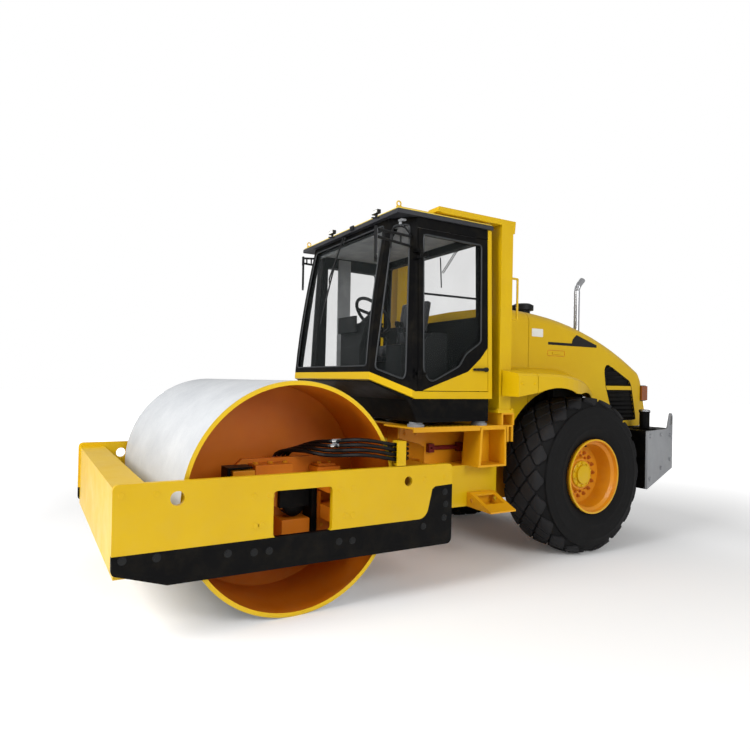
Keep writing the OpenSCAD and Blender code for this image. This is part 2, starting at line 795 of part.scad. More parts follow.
// Roll-over frame: two posts, a cross beam, tapered side beams over the roof and a grab rail
module rops_frame() {
    foot_z = deck_z + 110;
    color("gold") machine() {
        both_sides() {
            block([rops_x, rops_y, foot_z], [rops_x + rops_w, rops_y + rops_deep, rops_top - 20]);
            block([rops_x - 20, rops_y - 20, foot_z],
                [rops_x + rops_w + 10, rops_y + rops_deep + 30, foot_z + 25]);
            side_profile(rops_x, rops_w, [[cab_y + 570, rops_top], [cab_y + 560, cab_top + 10],
                [cab_y + 640, cab_top],
                [rops_y, cab_top], [rops_y, cab_top - 60], [rops_y + rops_deep + 20, cab_top - 60],
                [rops_y + rops_deep + 30, rops_top]]);
            grab_rail();
        }
        block([-rops_x, rops_y + 10, rops_top - 110], [rops_x, rops_y + rops_deep - 10, rops_top - 10]);
        translate([0, 0, cab_top]) linear_extrude(8) polygon(roof_plan(62));
    }
}

// Thin loop of bar behind the post
module grab_rail() {
    x = rops_x + rops_w - 20;
    y0 = rops_y + rops_deep - 5;
    y1 = rops_y + rops_deep + 85;
    for (z = [2190, 2560]) rod_between([x, y0, z], [x, y1, z], 10);
    rod_between([x, y1, 2190], [x, y1, 2560], 10);
}

// Hood, cowl and fenders

// Height of the hood's top line at y
function hood_line(y) = hood_z - hood_bend_r + sqrt(pow(hood_bend_r, 2) - pow(max(y - hood_bend_y, 0),
    2));

// Stations [y, top, half width] of the hood from y0 back to its seam or tail
tail_drop = [[-240, 0, 0], [-200, 20, 2], [-168, 62, 6], [-140, 125, 10], [-112, 195, 14],
    [-78, 310, 18], [-40, 450, 22], [0, 605, 30]];
function hood_stations(y0, y1) = [for (i = [0:10]) let (y = y0 + (y1 - y0) * i / 10)
    [y, hood_line(y), hood_w / 2]];
function tail_stations() = [for (t = tail_drop) [hood_end_y + t[0], hood_line(hood_end_y - 240) - t[1],
    hood_w / 2 - t[2]]];

// Closed section at a station, inset by g, with rounded shoulders, a crowned top and its foot at z_low
function hood_section(s, z_low, g) = let (w = s[2] - g, z = max(s[1] - g, z_low + 12),
    r = min(corner_r, (z - z_low) / 2))
    [for (p = concat([[w, z_low]], arc([w - r, z - r], r, 0, 80, 6), [[0, z + r / 9]],
        arc([-w + r, z - r], r, 100, 180, 6), [[-w, z_low]]))
        [p[0], s[0], p[1]]];

// Solid over a list of stations
module hood_loft(stations, z_low, g) {
    loft([for (s = stations) hood_section(s, z_low, g)]);
}

// Fender edges as functions of the way back from the hood's seam
function fender_x(y) = hood_w / 2 - 10 + (fender_out - hood_w / 2 +
    10) * pow(cos(90 * min(1, max(0, (y - seam_y) / (fender_end_y - seam_y)))), 1.1);
function ledge_z(y) = 1763 - 0.0006 * pow(max(0, y - wheelbase + 176), 2);
function rim_z(y) = min(1683 - 0.000175 * pow(max(0, y - wheelbase + 626), 2), ledge_z(y) - 5);
function tyre_clear_z(y) = axle_z + sqrt(max(0, pow(tyre_d / 2 + 45, 2) - pow(y - wheelbase, 2)));
function arch_z(y) = min(rim_z(y) - 30, max(1577 - 0.00063 * pow(y - wheelbase + 506, 2),
    tyre_clear_z(y)));

// L-shaped fender section at y, from the inner edge x0 out and down to the lower edge
function fender_section(y, x0) = let (x1 = max(fender_x(y), x0 + 30), zi = ledge_z(y), zo = rim_z(y))
    [for (p = [[x0, zi - 14], [x1 - 12, zo - 16], [x1 - 12, arch_z(y)], [x1, arch_z(y)], [x1, zo - 8],
        [x1 - 18, zo + 14], [x0, zi]])
        [p[0], y, p[1]]];

// Stations of the hood's fenders: ahead of the hood's seam they keep clear of the fixed cowl
function fender_stations() = concat(
    [for (i = [0:4]) fender_section(fender_seam_y + (seam_y - 3 - fender_seam_y) * i / 4, hood_w / 2 +
        6)],
    [for (i = [0:12]) fender_section(seam_y + (fender_end_y - seam_y) * i / 12, hood_w / 2 + seat_gap)]);

// Cutter that keeps a side wall clear of the tyres
module arch_cut() {
    both_sides() bar_x(arch_r, neck_x + 30, hood_w / 2 + 20, wheelbase, axle_z, $fn = 96);
}

// Fixed cowl between the roll-over frame and the hood, with the front fender boxes
module cowl() {
    post_x = rops_x + rops_w + 10;
    color("gold") machine() {
        difference() {
            hood_loft(hood_stations(cowl_y, seam_y - 6), deck_z, 0);
            hood_loft(hood_stations(cowl_y + 20, seam_y + past), deck_z - past, skin_t);
            arch_cut();
        }
        both_sides() difference() {
            loft([for (y = [fender_front_y, fender_seam_y - 6]) [for (p = [[hood_w / 2 - 5, 1495],
                [fender_out, y > fender_seam_y - 10 ? 1530 : 1495], [fender_out, 1675],
                    [fender_out - 18, 1697],
                [hood_w / 2 - 5, 1763]]) [p[0], y, p[1]]]]);
            block([post_x + 15, fender_front_y + 15, 1400], [fender_out - 15, fender_seam_y + 20, 1640]);
            block([hood_w / 2 + 15, cowl_y + 15, 1400], [fender_out - 15, fender_seam_y + 20, 1640]);
            block([hood_w / 2 - 20, fender_front_y - past, 1400], [post_x, cowl_y, 1800]);
        }
    }
}

// Side grille opening in side view, grown about its middle by k
grille_mid = [hood_end_y - 480, 1480];
grille_edge = concat(
    [[hood_end_y - 625, 1230], [hood_end_y - 250, 1240]],
    [[hood_end_y - 335, 1600], [hood_end_y - 370, 1660]],
    arc([hood_end_y - 735, 1770], 60, 45, 180, 5),
    [[hood_end_y - 770, 1600]]
);
function grille_outline(k) = [for (p = grille_edge) grille_mid + (p - grille_mid) * k];

// Solid hood before it is hollowed, grown by seat_gap where others sit on it
module hood_body(grow = 0) {
    hood_loft(concat(hood_stations(seam_y, hood_end_y - 290), tail_stations()), hood_low_z, -grow);
}

// Tilting hood shell, open below, with its grille openings and hinge knuckles
module hood() {
    color("gold") machine() {
        difference() {
            hood_body();
            hood_loft([for (s = concat(hood_stations(seam_y - past, hood_end_y - 290), tail_stations()))
                [s[0] - (s[0] > hood_end_y - 150 ? skin_t : 0), s[1], s[2]]], hood_low_z - past, skin_t);
            both_sides() side_profile(hood_w / 2 - 60, 100, grille_outline(1));
            rear_grille_cut();
            arch_cut();
            both_sides() bar_x(hinge_pin_r + 0.3, hinge_x[0] - past, hinge_x[3] + past, hinge_y, hinge_z);
            both_sides() for (i = [0, 2])
                block([hinge_x[i] - 4, hinge_y - hinge_r - 8, hood_low_z - past],
                    [hinge_x[i + 1] + 4, hood_end_y + past, hinge_z + hinge_r + 8]);
        }
        both_sides() difference() {
            union() {
                bar_x(hinge_r, hinge_x[1] + 1, hinge_x[2] - 1, hinge_y, hinge_z);
                block([hinge_x[1] + 5, hinge_y - 14, hinge_z],
                    [hinge_x[2] - 5, hinge_y + 14, hinge_z + 30]);
            }
            bar_x(hinge_pin_r + 0.05, hinge_x[1] - past, hinge_x[2] + past, hinge_y, hinge_z);
        }
    }
}

// Flared fenders that lift with the hood
module hood_fenders() {
    color("gold") machine() both_sides() loft(fender_stations());
}

// Opening in the hood's rear face
rear_grille = [hood_w / 2 - 150, 1240, 1560];
module rear_grille_cut() {
    block([-rear_grille[0], hood_end_y - 250, rear_grille[1]],
        [rear_grille[0], hood_end_y + 50, rear_grille[2]]);
}

// Dark louvres in the hood's side and rear openings
module hood_grilles() {
    slats = 12;
    plate_x = hood_w / 2 - skin_t - seat_gap - 5;
    slope = 87 / (rear_grille[2] - rear_grille[1]);
    color([0.15, 0.15, 0.16]) machine() {
        both_sides() {
            side_profile(plate_x, 5, grille_outline(1.06));
            intersection() {
                side_profile(plate_x, 30, grille_outline(0.985));
                for (i = [0:slats]) translate([hood_w / 2 - 14, hood_end_y - 500, 1250 + 45 * i])
                    rotate([0, 35, 0])
                    cube([6, 700, 36], center = true);
            }
        }
        for (i = [0:8]) let (z = rear_grille[1] + 14 + 36 * i,
            y = hood_end_y - 14 - slope * (z - rear_grille[1]))
            translate([0, y, z]) rotate([-28, 0, 0])
                cube([2 * (rear_grille[0] - seat_gap), 30, 5], center = true);
        for (x = [-1, -0.34, 0.34, 1]) side_profile(x * (rear_grille[0] - 6 - seat_gap) - 6, 12,
            [[hood_end_y - 34, rear_grille[1] + seat_gap], [hood_end_y - 22, rear_grille[1] + seat_gap],
            [hood_end_y - 106, rear_grille[2] - seat_gap],
                [hood_end_y - 118, rear_grille[2] - seat_gap]]);
    }
}

// Lamps on the rear corners of the hood
module tail_lights() {
    color("orangered") machine() both_sides() difference() {
        translate([hood_w / 2 - 30, hood_end_y - 160, 1450]) cube([44, 100, 160]);
        hood_body(seat_gap);
    }
}

// Upright exhaust pipe with its outlet turned back
module exhaust_stack() {
    y = wheelbase + 744;
    top = 2670;
    bend = [for (a = [0:15:45]) [250, y + 110 * (1 - cos(a)), top + 110 * sin(a)]];
    color("silver") machine() {
        translate([250, y, hood_line(y) + 20]) cylinder(h = top - hood_line(y) - 20, r = 33);
        difference() {
            translate([250, y, hood_line(y) - 40]) cylinder(h = 90, r = 46);
            hood_body(seat_gap);
        }
        tube(concat([[250, y, top - 20]], bend, [bend[3] + [0, 60, 60]]), 32, 16);
    }
}

// Mushroom cap of the air intake
module air_intake() {
    y = wheelbase - 176;
    z = hood_line(y);
    color([0.1, 0.1, 0.1]) machine() translate([300, y, 0]) {
        difference() {
            translate([0, 0, z - 20]) cylinder(h = 120, r = 78);
            translate([-300, -y, 0]) hood_body(seat_gap);
        }
        translate([0, 0, z + 88]) cylinder(h = 50, r = 112);
        translate([0, 0, z + 138]) cylinder(h = 18, r1 = 112, r2 = 80);
    }
}

// Inside the cab

// Seat pedestal and frame
module driver_seat() {
    y = cab_rear_y - 520;
    z = sill_z + 20;
    color([0.15, 0.15, 0.15]) machine() {
        block([-190, y - 160, sill_z], [190, y + 200, z + 60]);
        block([-150, y - 120, z + 60], [150, y + 160, z + 300]);
        block([-230, y - 210, z + 300], [230, y + 230, z + 340]);
    }
}

// Soft seat and backrest
module seat_cushions() {
    y = cab_rear_y - 520;
    z = sill_z + 360;
    color([0.2, 0.2, 0.21]) machine() {
        block([-240, y - 240, z], [240, y + 210, z + 110]);
        translate([0, y + 210 + seat_gap, z + 60]) rotate([-10, 0, 0])
            block([-230, 0, 0], [230, 110, 560]);
    }
}

// Height of the cab's floor at y
function floor_z(y) = y > shoulder_y + 30 ? sill_z : sill_z +
    sill_rise * (shoulder_y + 30 - y) / (shoulder_y + 30 - cab_y);

// Steering column, instrument pod and side console
module console() {
    y = cab_y + 330;
    z = sill_z + 20;
    color([0.12, 0.12, 0.12]) machine() {
        side_profile(-170, 340, [[y - 90, floor_z(y - 90)], [y + 10, floor_z(y + 10)],
            [y + 60, floor_z(y + 60)], [y + 60, z + 420], [y - 90, z + 420]]);
        hull() {
            block([-170, y - 90, z + 420], [170, y + 60, z + 430]);
            block([-220, y - 60, z + 640], [220, y + 130, z + 650]);
        }
        rod_between([0, y + 40, z + 640], [0, y + 136, z + 728], 35);
        side_profile(330, 230, [[cab_rear_y - 760, sill_z], [cab_rear_y - 250, sill_z],
            [cab_rear_y - 250, z + 560],
            [cab_rear_y - 420, z + 560], [cab_rear_y - 520, z + 480], [cab_rear_y - 760, z + 440]]);
    }
}

// Steering wheel on the column's top
module steering_wheel() {
    y = cab_y + 490;
    z = sill_z + 768;
    color([0.1, 0.1, 0.1]) machine() translate([0, y, z]) rotate([-48, 0, 0]) {
        rotate_extrude() translate([200, 0]) circle(r = 16);
        translate([0, 0, -14]) cylinder(h = 28, r = 50);
        for (a = [90, 210, 330]) rotate([0, 0, a]) translate([40, -14, -8]) cube([150, 28, 16]);
    }
}

// Outside mirrors on tube arms from the cab's shoulders: the left one reaches forward, the right one
// out to the side
module mirrors() {
    zt = frame_top - 165;
    color([0.08, 0.08, 0.08]) machine() difference() {
        union() {
            mirror_arm([cab_w / 2 - 60, shoulder_y, zt], [cab_w / 2 + 110, cab_y - 140, zt - 40], 146,
                230);
            mirror_arm([-cab_w / 2 + 60, shoulder_y + 40, zt + 120],
                [-cab_w / 2 - 178, cab_y + 250, zt + 160], 154, 340);
        }
        cab_volume(-seat_gap, sill_z, frame_top);
    }
}

// Two bars with rungs from the cab corner to a mirror plate of height tall, turned by turn degrees
module mirror_arm(root, tip, turn, tall) {
    low = [0, 0, -80];
    for (drop = [[0, 0, 0], low]) rod_between(root + drop, tip + drop * 0.7, 11);
    for (k = [0.3, 0.55, 0.8]) rod_between(root + (tip - root) * k, root + (tip - root) * k +
        low * (1 - 0.3 * k), 8);
    rod_between(tip + [0, 0, 12], tip + [0, 0, -80], 14);
    translate(tip + [0, 0, -tall / 2]) rotate([0, 0, turn]) cube([180, 22, tall], center = true);
}

// Place on the windshield's face at height z
function screen_y(z) = cab_y + windshield_back * pow((z - sill_z) / (frame_top - sill_z), 1.6);

// Front wiper: pivot under the roof, arm and blade
module wipers() {
    pin_z = frame_top - 25;
    mid_z = frame_top - 430;
    color([0.05, 0.05, 0.05]) machine() {
        difference() {
            translate([-20, screen_y(pin_z) - 45, pin_z]) rotate([-90, 0, 0]) cylinder(h = 60, r = 12);
            cab_volume(-seat_gap, sill_z, frame_top);
        }
        tube([[-20, screen_y(pin_z) - 34, pin_z + 10], [-60, screen_y(pin_z - 120) - 36, pin_z - 120],
            [-150, screen_y(mid_z) - 28, mid_z + 40], [-166, screen_y(mid_z) - 14, mid_z]], 8, 6);
        tube([for (k = [0:6]) let (z = frame_top - 300 - 85 * k) [-138 - 14 * k, screen_y(z) - 12, z]],
            8, 6);
    }
}

// Door

// The door's part of the cab shell within a side outline
module door_shell(outline) {
    intersection() {
        cab_shell(sill_z, frame_top);
        side_profile(cab_w / 2 - 150, 200, outline);
    }
}

// Black frame of the left door, hinged at its front edge, with its window cut
module door() {
    gap = 6;
    inner = concat([[door_front_y + gap, door_low_z + gap], [door_break[0][0], door_low_z + gap]],
        [for (i = [1:2]) door_break[i]], [[door_rear_y - gap, door_break[3][1] - 8]],
        [[door_rear_y - gap, door_top_z - gap], [door_front_y + gap, door_top_z - gap]]);
    color([0.1, 0.1, 0.1]) machine() {
        difference() {
            door_shell(inner);
            side_profile(cab_w / 2 - 200, 300, side_glass_outline);
        }
        for (z = door_hinge_z) difference() {
            union() {
                block([cab_w / 2 - 42, door_front_y + 10, z + 2],
                    [door_hinge[0] + 5, door_front_y + 70, z + door_leaf_h - 2]);
                translate([door_hinge[0], door_hinge[1], z]) cylinder(h = door_leaf_h, r = 15);
            }
            translate([door_hinge[0], door_hinge[1], z - past])
                cylinder(h = door_leaf_h + 2 * past, r = 8.05);
        }
    }
}

// Yellow lower panel of the door with its handle
module door_panel() {
    gap = 6;
    color("gold") machine() {
        door_shell(concat([[door_break[0][0], door_low_z + gap]], [for (i = [1:2]) door_break[i]],
            [[door_rear_y - gap, door_break[3][1] - 8], [door_rear_y - gap, door_low_z + gap]]));
    }
}

module door_glass() {
    glass_in = wall_t / 2 - 3;
    color([0.7, 0.85, 0.9, 0.4]) machine() intersection() {
        difference() {
            cab_volume(glass_in, sill_z, frame_top);
            cab_volume(glass_in + 6, sill_z - past, frame_top + past);
        }
        side_profile(cab_w / 2 - 200, 300, side_glass_outline);
    }
}

// Wheels

// One tyre, revolved about the axle, its tread blocks left as one smooth band
module tyre(side) {
    r = tyre_d / 2;
    w = tyre_w / 2;
    bead = rim_d / 2 - 12;
    color([0.09, 0.09, 0.09]) machine() translate([side * track_w / 2, wheelbase, axle_z])
        rotate([0, 90, 0])
        rotate_extrude($fn = 96) polygon([
            [bead, -w + 55], [bead + 60, -w + 18], [r - 190, -w], [r - 90, -w + 14], [r - 22, -w + 48],
                [r, -w + 90],
            [r, w - 90], [r - 22, w - 48], [r - 90, w - 14], [r - 190, w], [bead + 60, w - 18],
                [bead, w - 55]]);
}

// One rim with its dished disc, hub cap and flanges
module rim(side) {
    r = rim_d / 2;
    w = tyre_w / 2;
    bead = r - 12;
    color("orange") machine() translate([side * track_w / 2, wheelbase, axle_z])
        rotate([0, 90 * side, 0]) {
        rotate_extrude($fn = 96) polygon([
            [r, w - 30], [r, w - 12], [r - 20, w - 12], [bead - 14, w - 40], [bead - 40, w - 60],
                [bead - 60, 70], [170, 60],
            [150, 95], [0, 95], [0, 40], [bead - 90, 40], [bead - 60, -w + 60], [bead - 14, -w + 55],
                [bead, -w + 55],
            [bead, w - 55], [r - 2, w - 34]]);
        translate([0, 0, -w + 20]) cylinder(h = w + 25, r = 140);
    }
}

// Steering cylinders, barrel on the rear frame and rod towards the front beam

function rod_dir() = let (d = rod_eye - barrel_eye) d / norm(d);

module steer_barrel(side) {
    d = rod_dir();
    color("dimgray") machine() scale([side, 1, 1]) {
        translate([barrel_eye[0], barrel_eye[1], steer_z]) {
            difference() {
                translate([0, 0, -eye_half]) cylinder(h = 2 * eye_half, r = eye_r);
                translate([0, 0, -eye_half - past])
                    cylinder(h = 2 * (eye_half + past), r = eye_pin_r + 0.05);
            }
        }
        difference() {
            rod_between([barrel_eye[0] + d[0] * (eye_r - 2), barrel_eye[1] + d[1] * (eye_r - 2), steer_z],
                [barrel_eye[0] + d[0] * barrel_len, barrel_eye[1] + d[1] * barrel_len, steer_z],
                    barrel_r);
            rod_between([barrel_eye[0] + d[0] * 90, barrel_eye[1] + d[1] * 90, steer_z],
                [barrel_eye[0] + d[0] * (barrel_len + past), barrel_eye[1] + d[1] * (barrel_len + past),
                    steer_z], rod_r + 0.05);
        }
    }
}

module steer_rod(side) {
    d = rod_dir();
    color("silver") machine() scale([side, 1, 1]) difference() {
        union() {
            rod_between([barrel_eye[0] + d[0] * 430, barrel_eye[1] + d[1] * 430, steer_z],
                [rod_eye[0] - d[0] * 36, rod_eye[1] - d[1] * 36, steer_z], rod_r);
            translate([rod_eye[0], rod_eye[1], steer_z - eye_half])
                cylinder(h = 2 * eye_half, r = eye_r - 6);
        }
        translate([rod_eye[0], rod_eye[1], steer_z - eye_half - past])
            cylinder(h = 2 * (eye_half + past), r = eye_pin_r + 1);
    }
}

drum_shell();
drum_lining();
drum_heads();
side_plates();
side_bands();
front_beam();
rear_beam();
drum_carriers();
scrapers();
drum_hoses();
hose_clamp();
rear_chassis();
deck();
steps();
cab_mounts();
rear_axle();
engine_block();
counterweight();
counterweight_plates();
lock_bar();
cab_floor();
cab_sill();
cab_frame();
cab_roof();
cab_glass();
rops_frame();
cowl();
driver_seat();
seat_cushions();
console();
steering_wheel();
mirrors();
wipers();
hood();
hood_fenders();
hood_grilles();
tail_lights();
exhaust_stack();
air_intake();
door();
door_panel();
door_glass();
tyre(1);  // tyre_left
tyre(-1);  // tyre_right
rim(1);  // rim_left
rim(-1);  // rim_right
steer_barrel(1);  // steer_barrel_left
steer_barrel(-1);  // steer_barrel_right
steer_rod(1);  // steer_rod_left
steer_rod(-1);  // steer_rod_right
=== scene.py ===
"""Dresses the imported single-drum road roller: paint, steel, rubber, glass, bolts, tread and cab."""
from __future__ import annotations

import logging
import math
from dataclasses import dataclass, field
from enum import Enum
from typing import Callable, Iterable, Sequence

import bmesh
import bpy
from mathutils import Matrix, Vector


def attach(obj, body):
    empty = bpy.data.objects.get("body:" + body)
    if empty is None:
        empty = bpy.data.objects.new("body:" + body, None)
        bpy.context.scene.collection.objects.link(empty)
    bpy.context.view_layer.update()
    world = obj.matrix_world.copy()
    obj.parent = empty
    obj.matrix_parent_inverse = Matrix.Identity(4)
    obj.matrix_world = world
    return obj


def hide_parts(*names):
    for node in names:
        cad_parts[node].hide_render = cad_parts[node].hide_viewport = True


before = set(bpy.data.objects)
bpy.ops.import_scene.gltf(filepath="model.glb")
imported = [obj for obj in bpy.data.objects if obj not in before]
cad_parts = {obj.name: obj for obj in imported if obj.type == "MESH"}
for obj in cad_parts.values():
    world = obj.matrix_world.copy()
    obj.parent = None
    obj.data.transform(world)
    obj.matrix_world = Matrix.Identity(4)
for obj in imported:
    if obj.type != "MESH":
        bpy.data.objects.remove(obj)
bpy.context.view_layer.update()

LOG = logging.getLogger("road_roller")
Point = Sequence[float]
Colour = tuple[float, float, float, float]
Pair = tuple[float, float]
Rows = tuple[tuple[float, ...], ...]
Socket = bpy.types.NodeSocket

SHIFT_Y = -1.7375  # from the drum axle's own Y to the model's
BOTH = (-1, 1)  # the machine's two sides, as the sign of X
UP = (0.0, 0.0, 1.0)


def at(x: float, y: float, z: float) -> Vector:
    """A point given from the drum axle, as a vector in the model's frame."""
    return Vector((x, y + SHIFT_Y, z))


class Body(str, Enum):
    """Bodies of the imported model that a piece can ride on."""

    REAR = "rear_frame"
    FRONT = "front_frame"
    DRUM = "drum"
    HOOD = "hood"
    DOOR = "door"
    WHEEL_L = "wheel_left"
    WHEEL_R = "wheel_right"


# Finishes


class Nodes:
    """Short way to build a shader tree."""

    def __init__(self, name: str) -> None:
        """Starts a material of that name with a Principled shader.

        Args:
            name: of the material.
        """
        self.mat = bpy.data.materials.new(name)
        self.mat.use_nodes = True
        self.tree = self.mat.node_tree
        self.shader = self.tree.nodes["Principled BSDF"]
        self.coord = self.add("ShaderNodeTexCoord").outputs["Object"]

    def add(self, kind: str, **values: object) -> bpy.types.Node:
        """Adds a node and sets its properties.

        Args:
            kind: its type name.
            values: properties by name.

        Returns:
            The node.
        """
        node = self.tree.nodes.new(kind)
        for key, value in values.items():
            setattr(node, key, value)
        return node

    def put(self, node: bpy.types.Node, socket: str | int, value: object) -> None:
        """Links an output to a socket, or sets its value.

        Args:
            node: whose input it is.
            socket: the input's name or number.
            value: an output to link, or a plain value.
        """
        target = node.inputs[socket]
        if isinstance(value, bpy.types.NodeSocket):
            self.tree.links.new(value, target)
        else:
            target.default_value = value

    def noise(self, scale: float, detail: float = 4.0, rough: float = 0.55,
              stretch: Point = (1, 1, 1)) -> Socket:
        """Noise between 0 and 1 on the object's own coordinates.

        Args:
            scale: how fine it is.
            detail: number of octaves.
            rough: strength of the fine octaves.
            stretch: scale of each coordinate before the noise.

        Returns:
            The noise.
        """
        mapping = self.add("ShaderNodeMapping")
        self.put(mapping, "Vector", self.coord)
        self.put(mapping, "Scale", stretch)
        node = self.add("ShaderNodeTexNoise")
        self.put(node, "Vector", mapping.outputs["Vector"])
        self.put(node, "Scale", scale)
        self.put(node, "Detail", detail)
        self.put(node, "Roughness", rough)
        return node.outputs["Fac"]

    def ramp(self, value: Socket, low: float, high: float, to_low: float = 0.0, to_high: float = 1.0) -> Socket:
        """Maps low..high to to_low..to_high, clamped.

        Args:
            value: the input.
            low: its low end.
            high: its high end.
            to_low: result at the low end.
            to_high: result at the high end.

        Returns:
            The mapped value.
        """
        node = self.add("ShaderNodeMapRange", clamp=True)
        self.put(node, "Value", value)
        for socket, number in (("From Min", low), ("From Max", high), ("To Min", to_low), ("To Max", to_high)):
            self.put(node, socket, number)
        return node.outputs["Result"]

    def math(self, kind: str, a: object, b: object = 0.0) -> Socket:
        """One arithmetic step.

        Args:
            kind: the operation's name.
            a: first operand.
            b: second operand.

        Returns:
            The result.
        """
        node = self.add("ShaderNodeMath", operation=kind)
        self.put(node, 0, a)
        self.put(node, 1, b)
        return node.outputs[0]

    def between(self, value: Socket, low: object, high: object) -> Socket:
        """1 where the value lies between low and high, else 0."""
        return self.math("MULTIPLY", self.math("GREATER_THAN", value, low), self.math("LESS_THAN", value, high))

    def mix(self, fac: object, a: object, b: object) -> Socket:
        """Mixes two colours.

        Args:
            fac: share of the second.
            a: first colour.
            b: second colour.

        Returns:
            The mixed colour.
        """
        node = self.add("ShaderNodeMix", data_type="RGBA")
        self.put(node, 0, fac)
        self.put(node, 6, a)
        self.put(node, 7, b)
        return node.outputs[2]

    def bump(self, height: Socket, strength: float, distance: float) -> None:
        """Adds a bump of that height to the shader.

        Args:
            height: the pattern.
            strength: share of its effect.
            distance: its depth in metres.
        """
        node = self.add("ShaderNodeBump")
        self.put(node, "Height", height)
        self.put(node, "Strength", strength)
        self.put(node, "Distance", distance)
        if self.shader.inputs["Normal"].is_linked:
            self.put(node, "Normal", self.shader.inputs["Normal"].links[0].from_socket)
        self.put(self.shader, "Normal", node.outputs["Normal"])

    def axis(self, name: str) -> Socket:
        """One coordinate in metres.

        Args:
            name: X, Y or Z.

        Returns:
            The coordinate.
        """
        split = self.add("ShaderNodeSeparateXYZ")
        self.put(split, "Vector", self.coord)
        return split.outputs[name]


def rgb(r: int, g: int, b: int) -> Colour:
    """A display colour as the linear one that the shader wants."""
    line = [(c / 255 / 12.92) if c / 255 <= 0.04045 else ((c / 255 + 0.055) / 1.055) ** 2.4 for c in (r, g, b)]
    return (line[0], line[1], line[2], 1.0)


DRUM_EDGE_X = 1.0642  # the drum's end faces lie past this
ROOF_HIGHLIGHT_Z = 2.994  # the roof's top edge lies above this; its pale yellow is the top's yellow with a painted highlight
TANK_X = (0.6, 0.6835)
TANK_Z = (0.3, 0.868)


def drum_edge(n: Nodes) -> Socket:
    """Mask of the drum's two end faces, which carry bright paint."""
    return n.math("GREATER_THAN", n.math("ABSOLUTE", n.axis("X")), DRUM_EDGE_X)


def hood_stripe(n: Nodes) -> Socket:
    """Mask of the black bar along the hood's side and the wedge that it ends in.

    Args:
        n: the material's nodes.

    Returns:
        The mask.
    """
    y, z = n.axis("Y"), n.axis("Z")
    y_start, y_wedge, y_end = 2.92 + SHIFT_Y, 3.27 + SHIFT_Y, 3.66 + SHIFT_Y
    z_low, z_bar, z_top = 2.002, 2.03, 2.142
    fall, curl, overlap = 0.29, 9.0, 0.001
    bar = n.math("MULTIPLY", n.between(y, y_start, y_end), n.between(z, z_low, z_bar))
    slope = n.math("SUBTRACT", z_top, n.math("MULTIPLY", n.math("SUBTRACT", y, y_wedge), fall))
    rise = n.math("SUBTRACT", z, z_bar)
    front = n.math("ADD", n.math("MULTIPLY", n.math("MULTIPLY", rise, rise), curl), y_wedge)
    wedge = n.math("MULTIPLY", n.between(y, front, y_end), n.between(z, z_bar - overlap, slope))
    return n.math("MAXIMUM", bar, wedge)


def lower_tank(n: Nodes) -> Socket:
    """Mask of the tank between the upper step and the tread, which is as yellow as the plates."""
    out = n.math("ABSOLUTE", n.axis("X"))
    return n.math("MULTIPLY", n.between(n.axis("Z"), *TANK_Z), n.between(out, *TANK_X))


def roof_edge_highlight(n: Nodes) -> Socket:
    """Mask of the roof's top edge, painted pale: the top's yellow lightened as painted highlight."""
    return n.math("GREATER_THAN", n.axis("Z"), ROOF_HIGHLIGHT_Z)


@dataclass(frozen=True)
class Paint:
    """Sprayed paint with a faint orange peel, dust in the lows and slightly uneven gloss."""

    name: str
    colour: Colour
    shade: Colour
    dust: Colour = rgb(178, 160, 118)
    roughness: float = 0.34
    coat: float = 0.07
    dusty: float = 0.1
    mark: Callable[[Nodes], Socket] | None = None
    mark_colour: Colour = rgb(14, 14, 15)
    gloss: float = 0.26

    def make(self) -> bpy.types.Material:
        """Builds the material.

        Returns:
            The material.
        """
        n = Nodes(self.name)
        body = n.mix(n.ramp(n.noise(1.7, 5.0), 0.35, 0.7), self.colour, self.shade)
        low = n.ramp(n.axis("Z"), 0.2, 1.1, self.dusty, 0.02)
        spots = n.ramp(n.noise(9.0, 8.0, 0.7), 0.45, 0.75)
        film = n.math("MULTIPLY", low, spots)
        if self.mark:
            body = n.mix(self.mark(n), body, self.mark_colour)
        n.put(n.shader, "Base Color", n.mix(film, body, self.dust))
        smudge = n.ramp(n.noise(5.0, 6.0, 0.6), 0.3, 0.7, self.roughness - 0.05, self.roughness + 0.09)
        n.put(n.shader, "Roughness", n.math("ADD", smudge, n.math("MULTIPLY", film, 0.5)))
        n.put(n.shader, "Specular IOR Level", self.gloss)
        n.put(n.shader, "Coat Weight", self.coat)
        n.put(n.shader, "Coat Roughness", 0.12)
        n.bump(n.noise(420.0, 2.0), 0.05, 0.001)
        n.bump(n.noise(60.0, 3.0), 0.025, 0.002)
        return n.mat


@dataclass(frozen=True)
class RolledSteel:
    """Drum wall, bright where it rolls, with fine scratches, faint freckles and painted end faces."""

    name: str
    colour: Colour = rgb(208, 210, 212)
    dark: Colour = rgb(184, 187, 191)
    rust: Colour = rgb(160, 146, 130)
    edge: Colour = rgb(217, 180, 5)

    def make(self) -> bpy.types.Material:
        """Builds the material.

        Returns:
            The material.
        """
        n = Nodes(self.name)
        streak = n.noise(30.0, 6.0, 0.7, (26.0, 1.0, 1.0))
        patch = n.noise(3.0, 6.0, 0.65)
        base = n.mix(n.ramp(n.math("ADD", streak, patch), 0.75, 1.25), self.colour, self.dark)
        freckle = n.ramp(n.noise(46.0, 8.0, 0.75), 0.62, 0.8, 0.0, 0.22)
        painted = drum_edge(n)
        n.put(n.shader, "Base Color", n.mix(painted, n.mix(freckle, base, self.rust), self.edge))
        n.put(n.shader, "Metallic", n.math("SUBTRACT", 0.12, n.math("MULTIPLY", painted, 0.12)))
        n.put(n.shader, "Roughness", n.ramp(streak, 0.3, 0.7, 0.42, 0.6))
        n.bump(streak, 0.1, 0.002)
        return n.mat


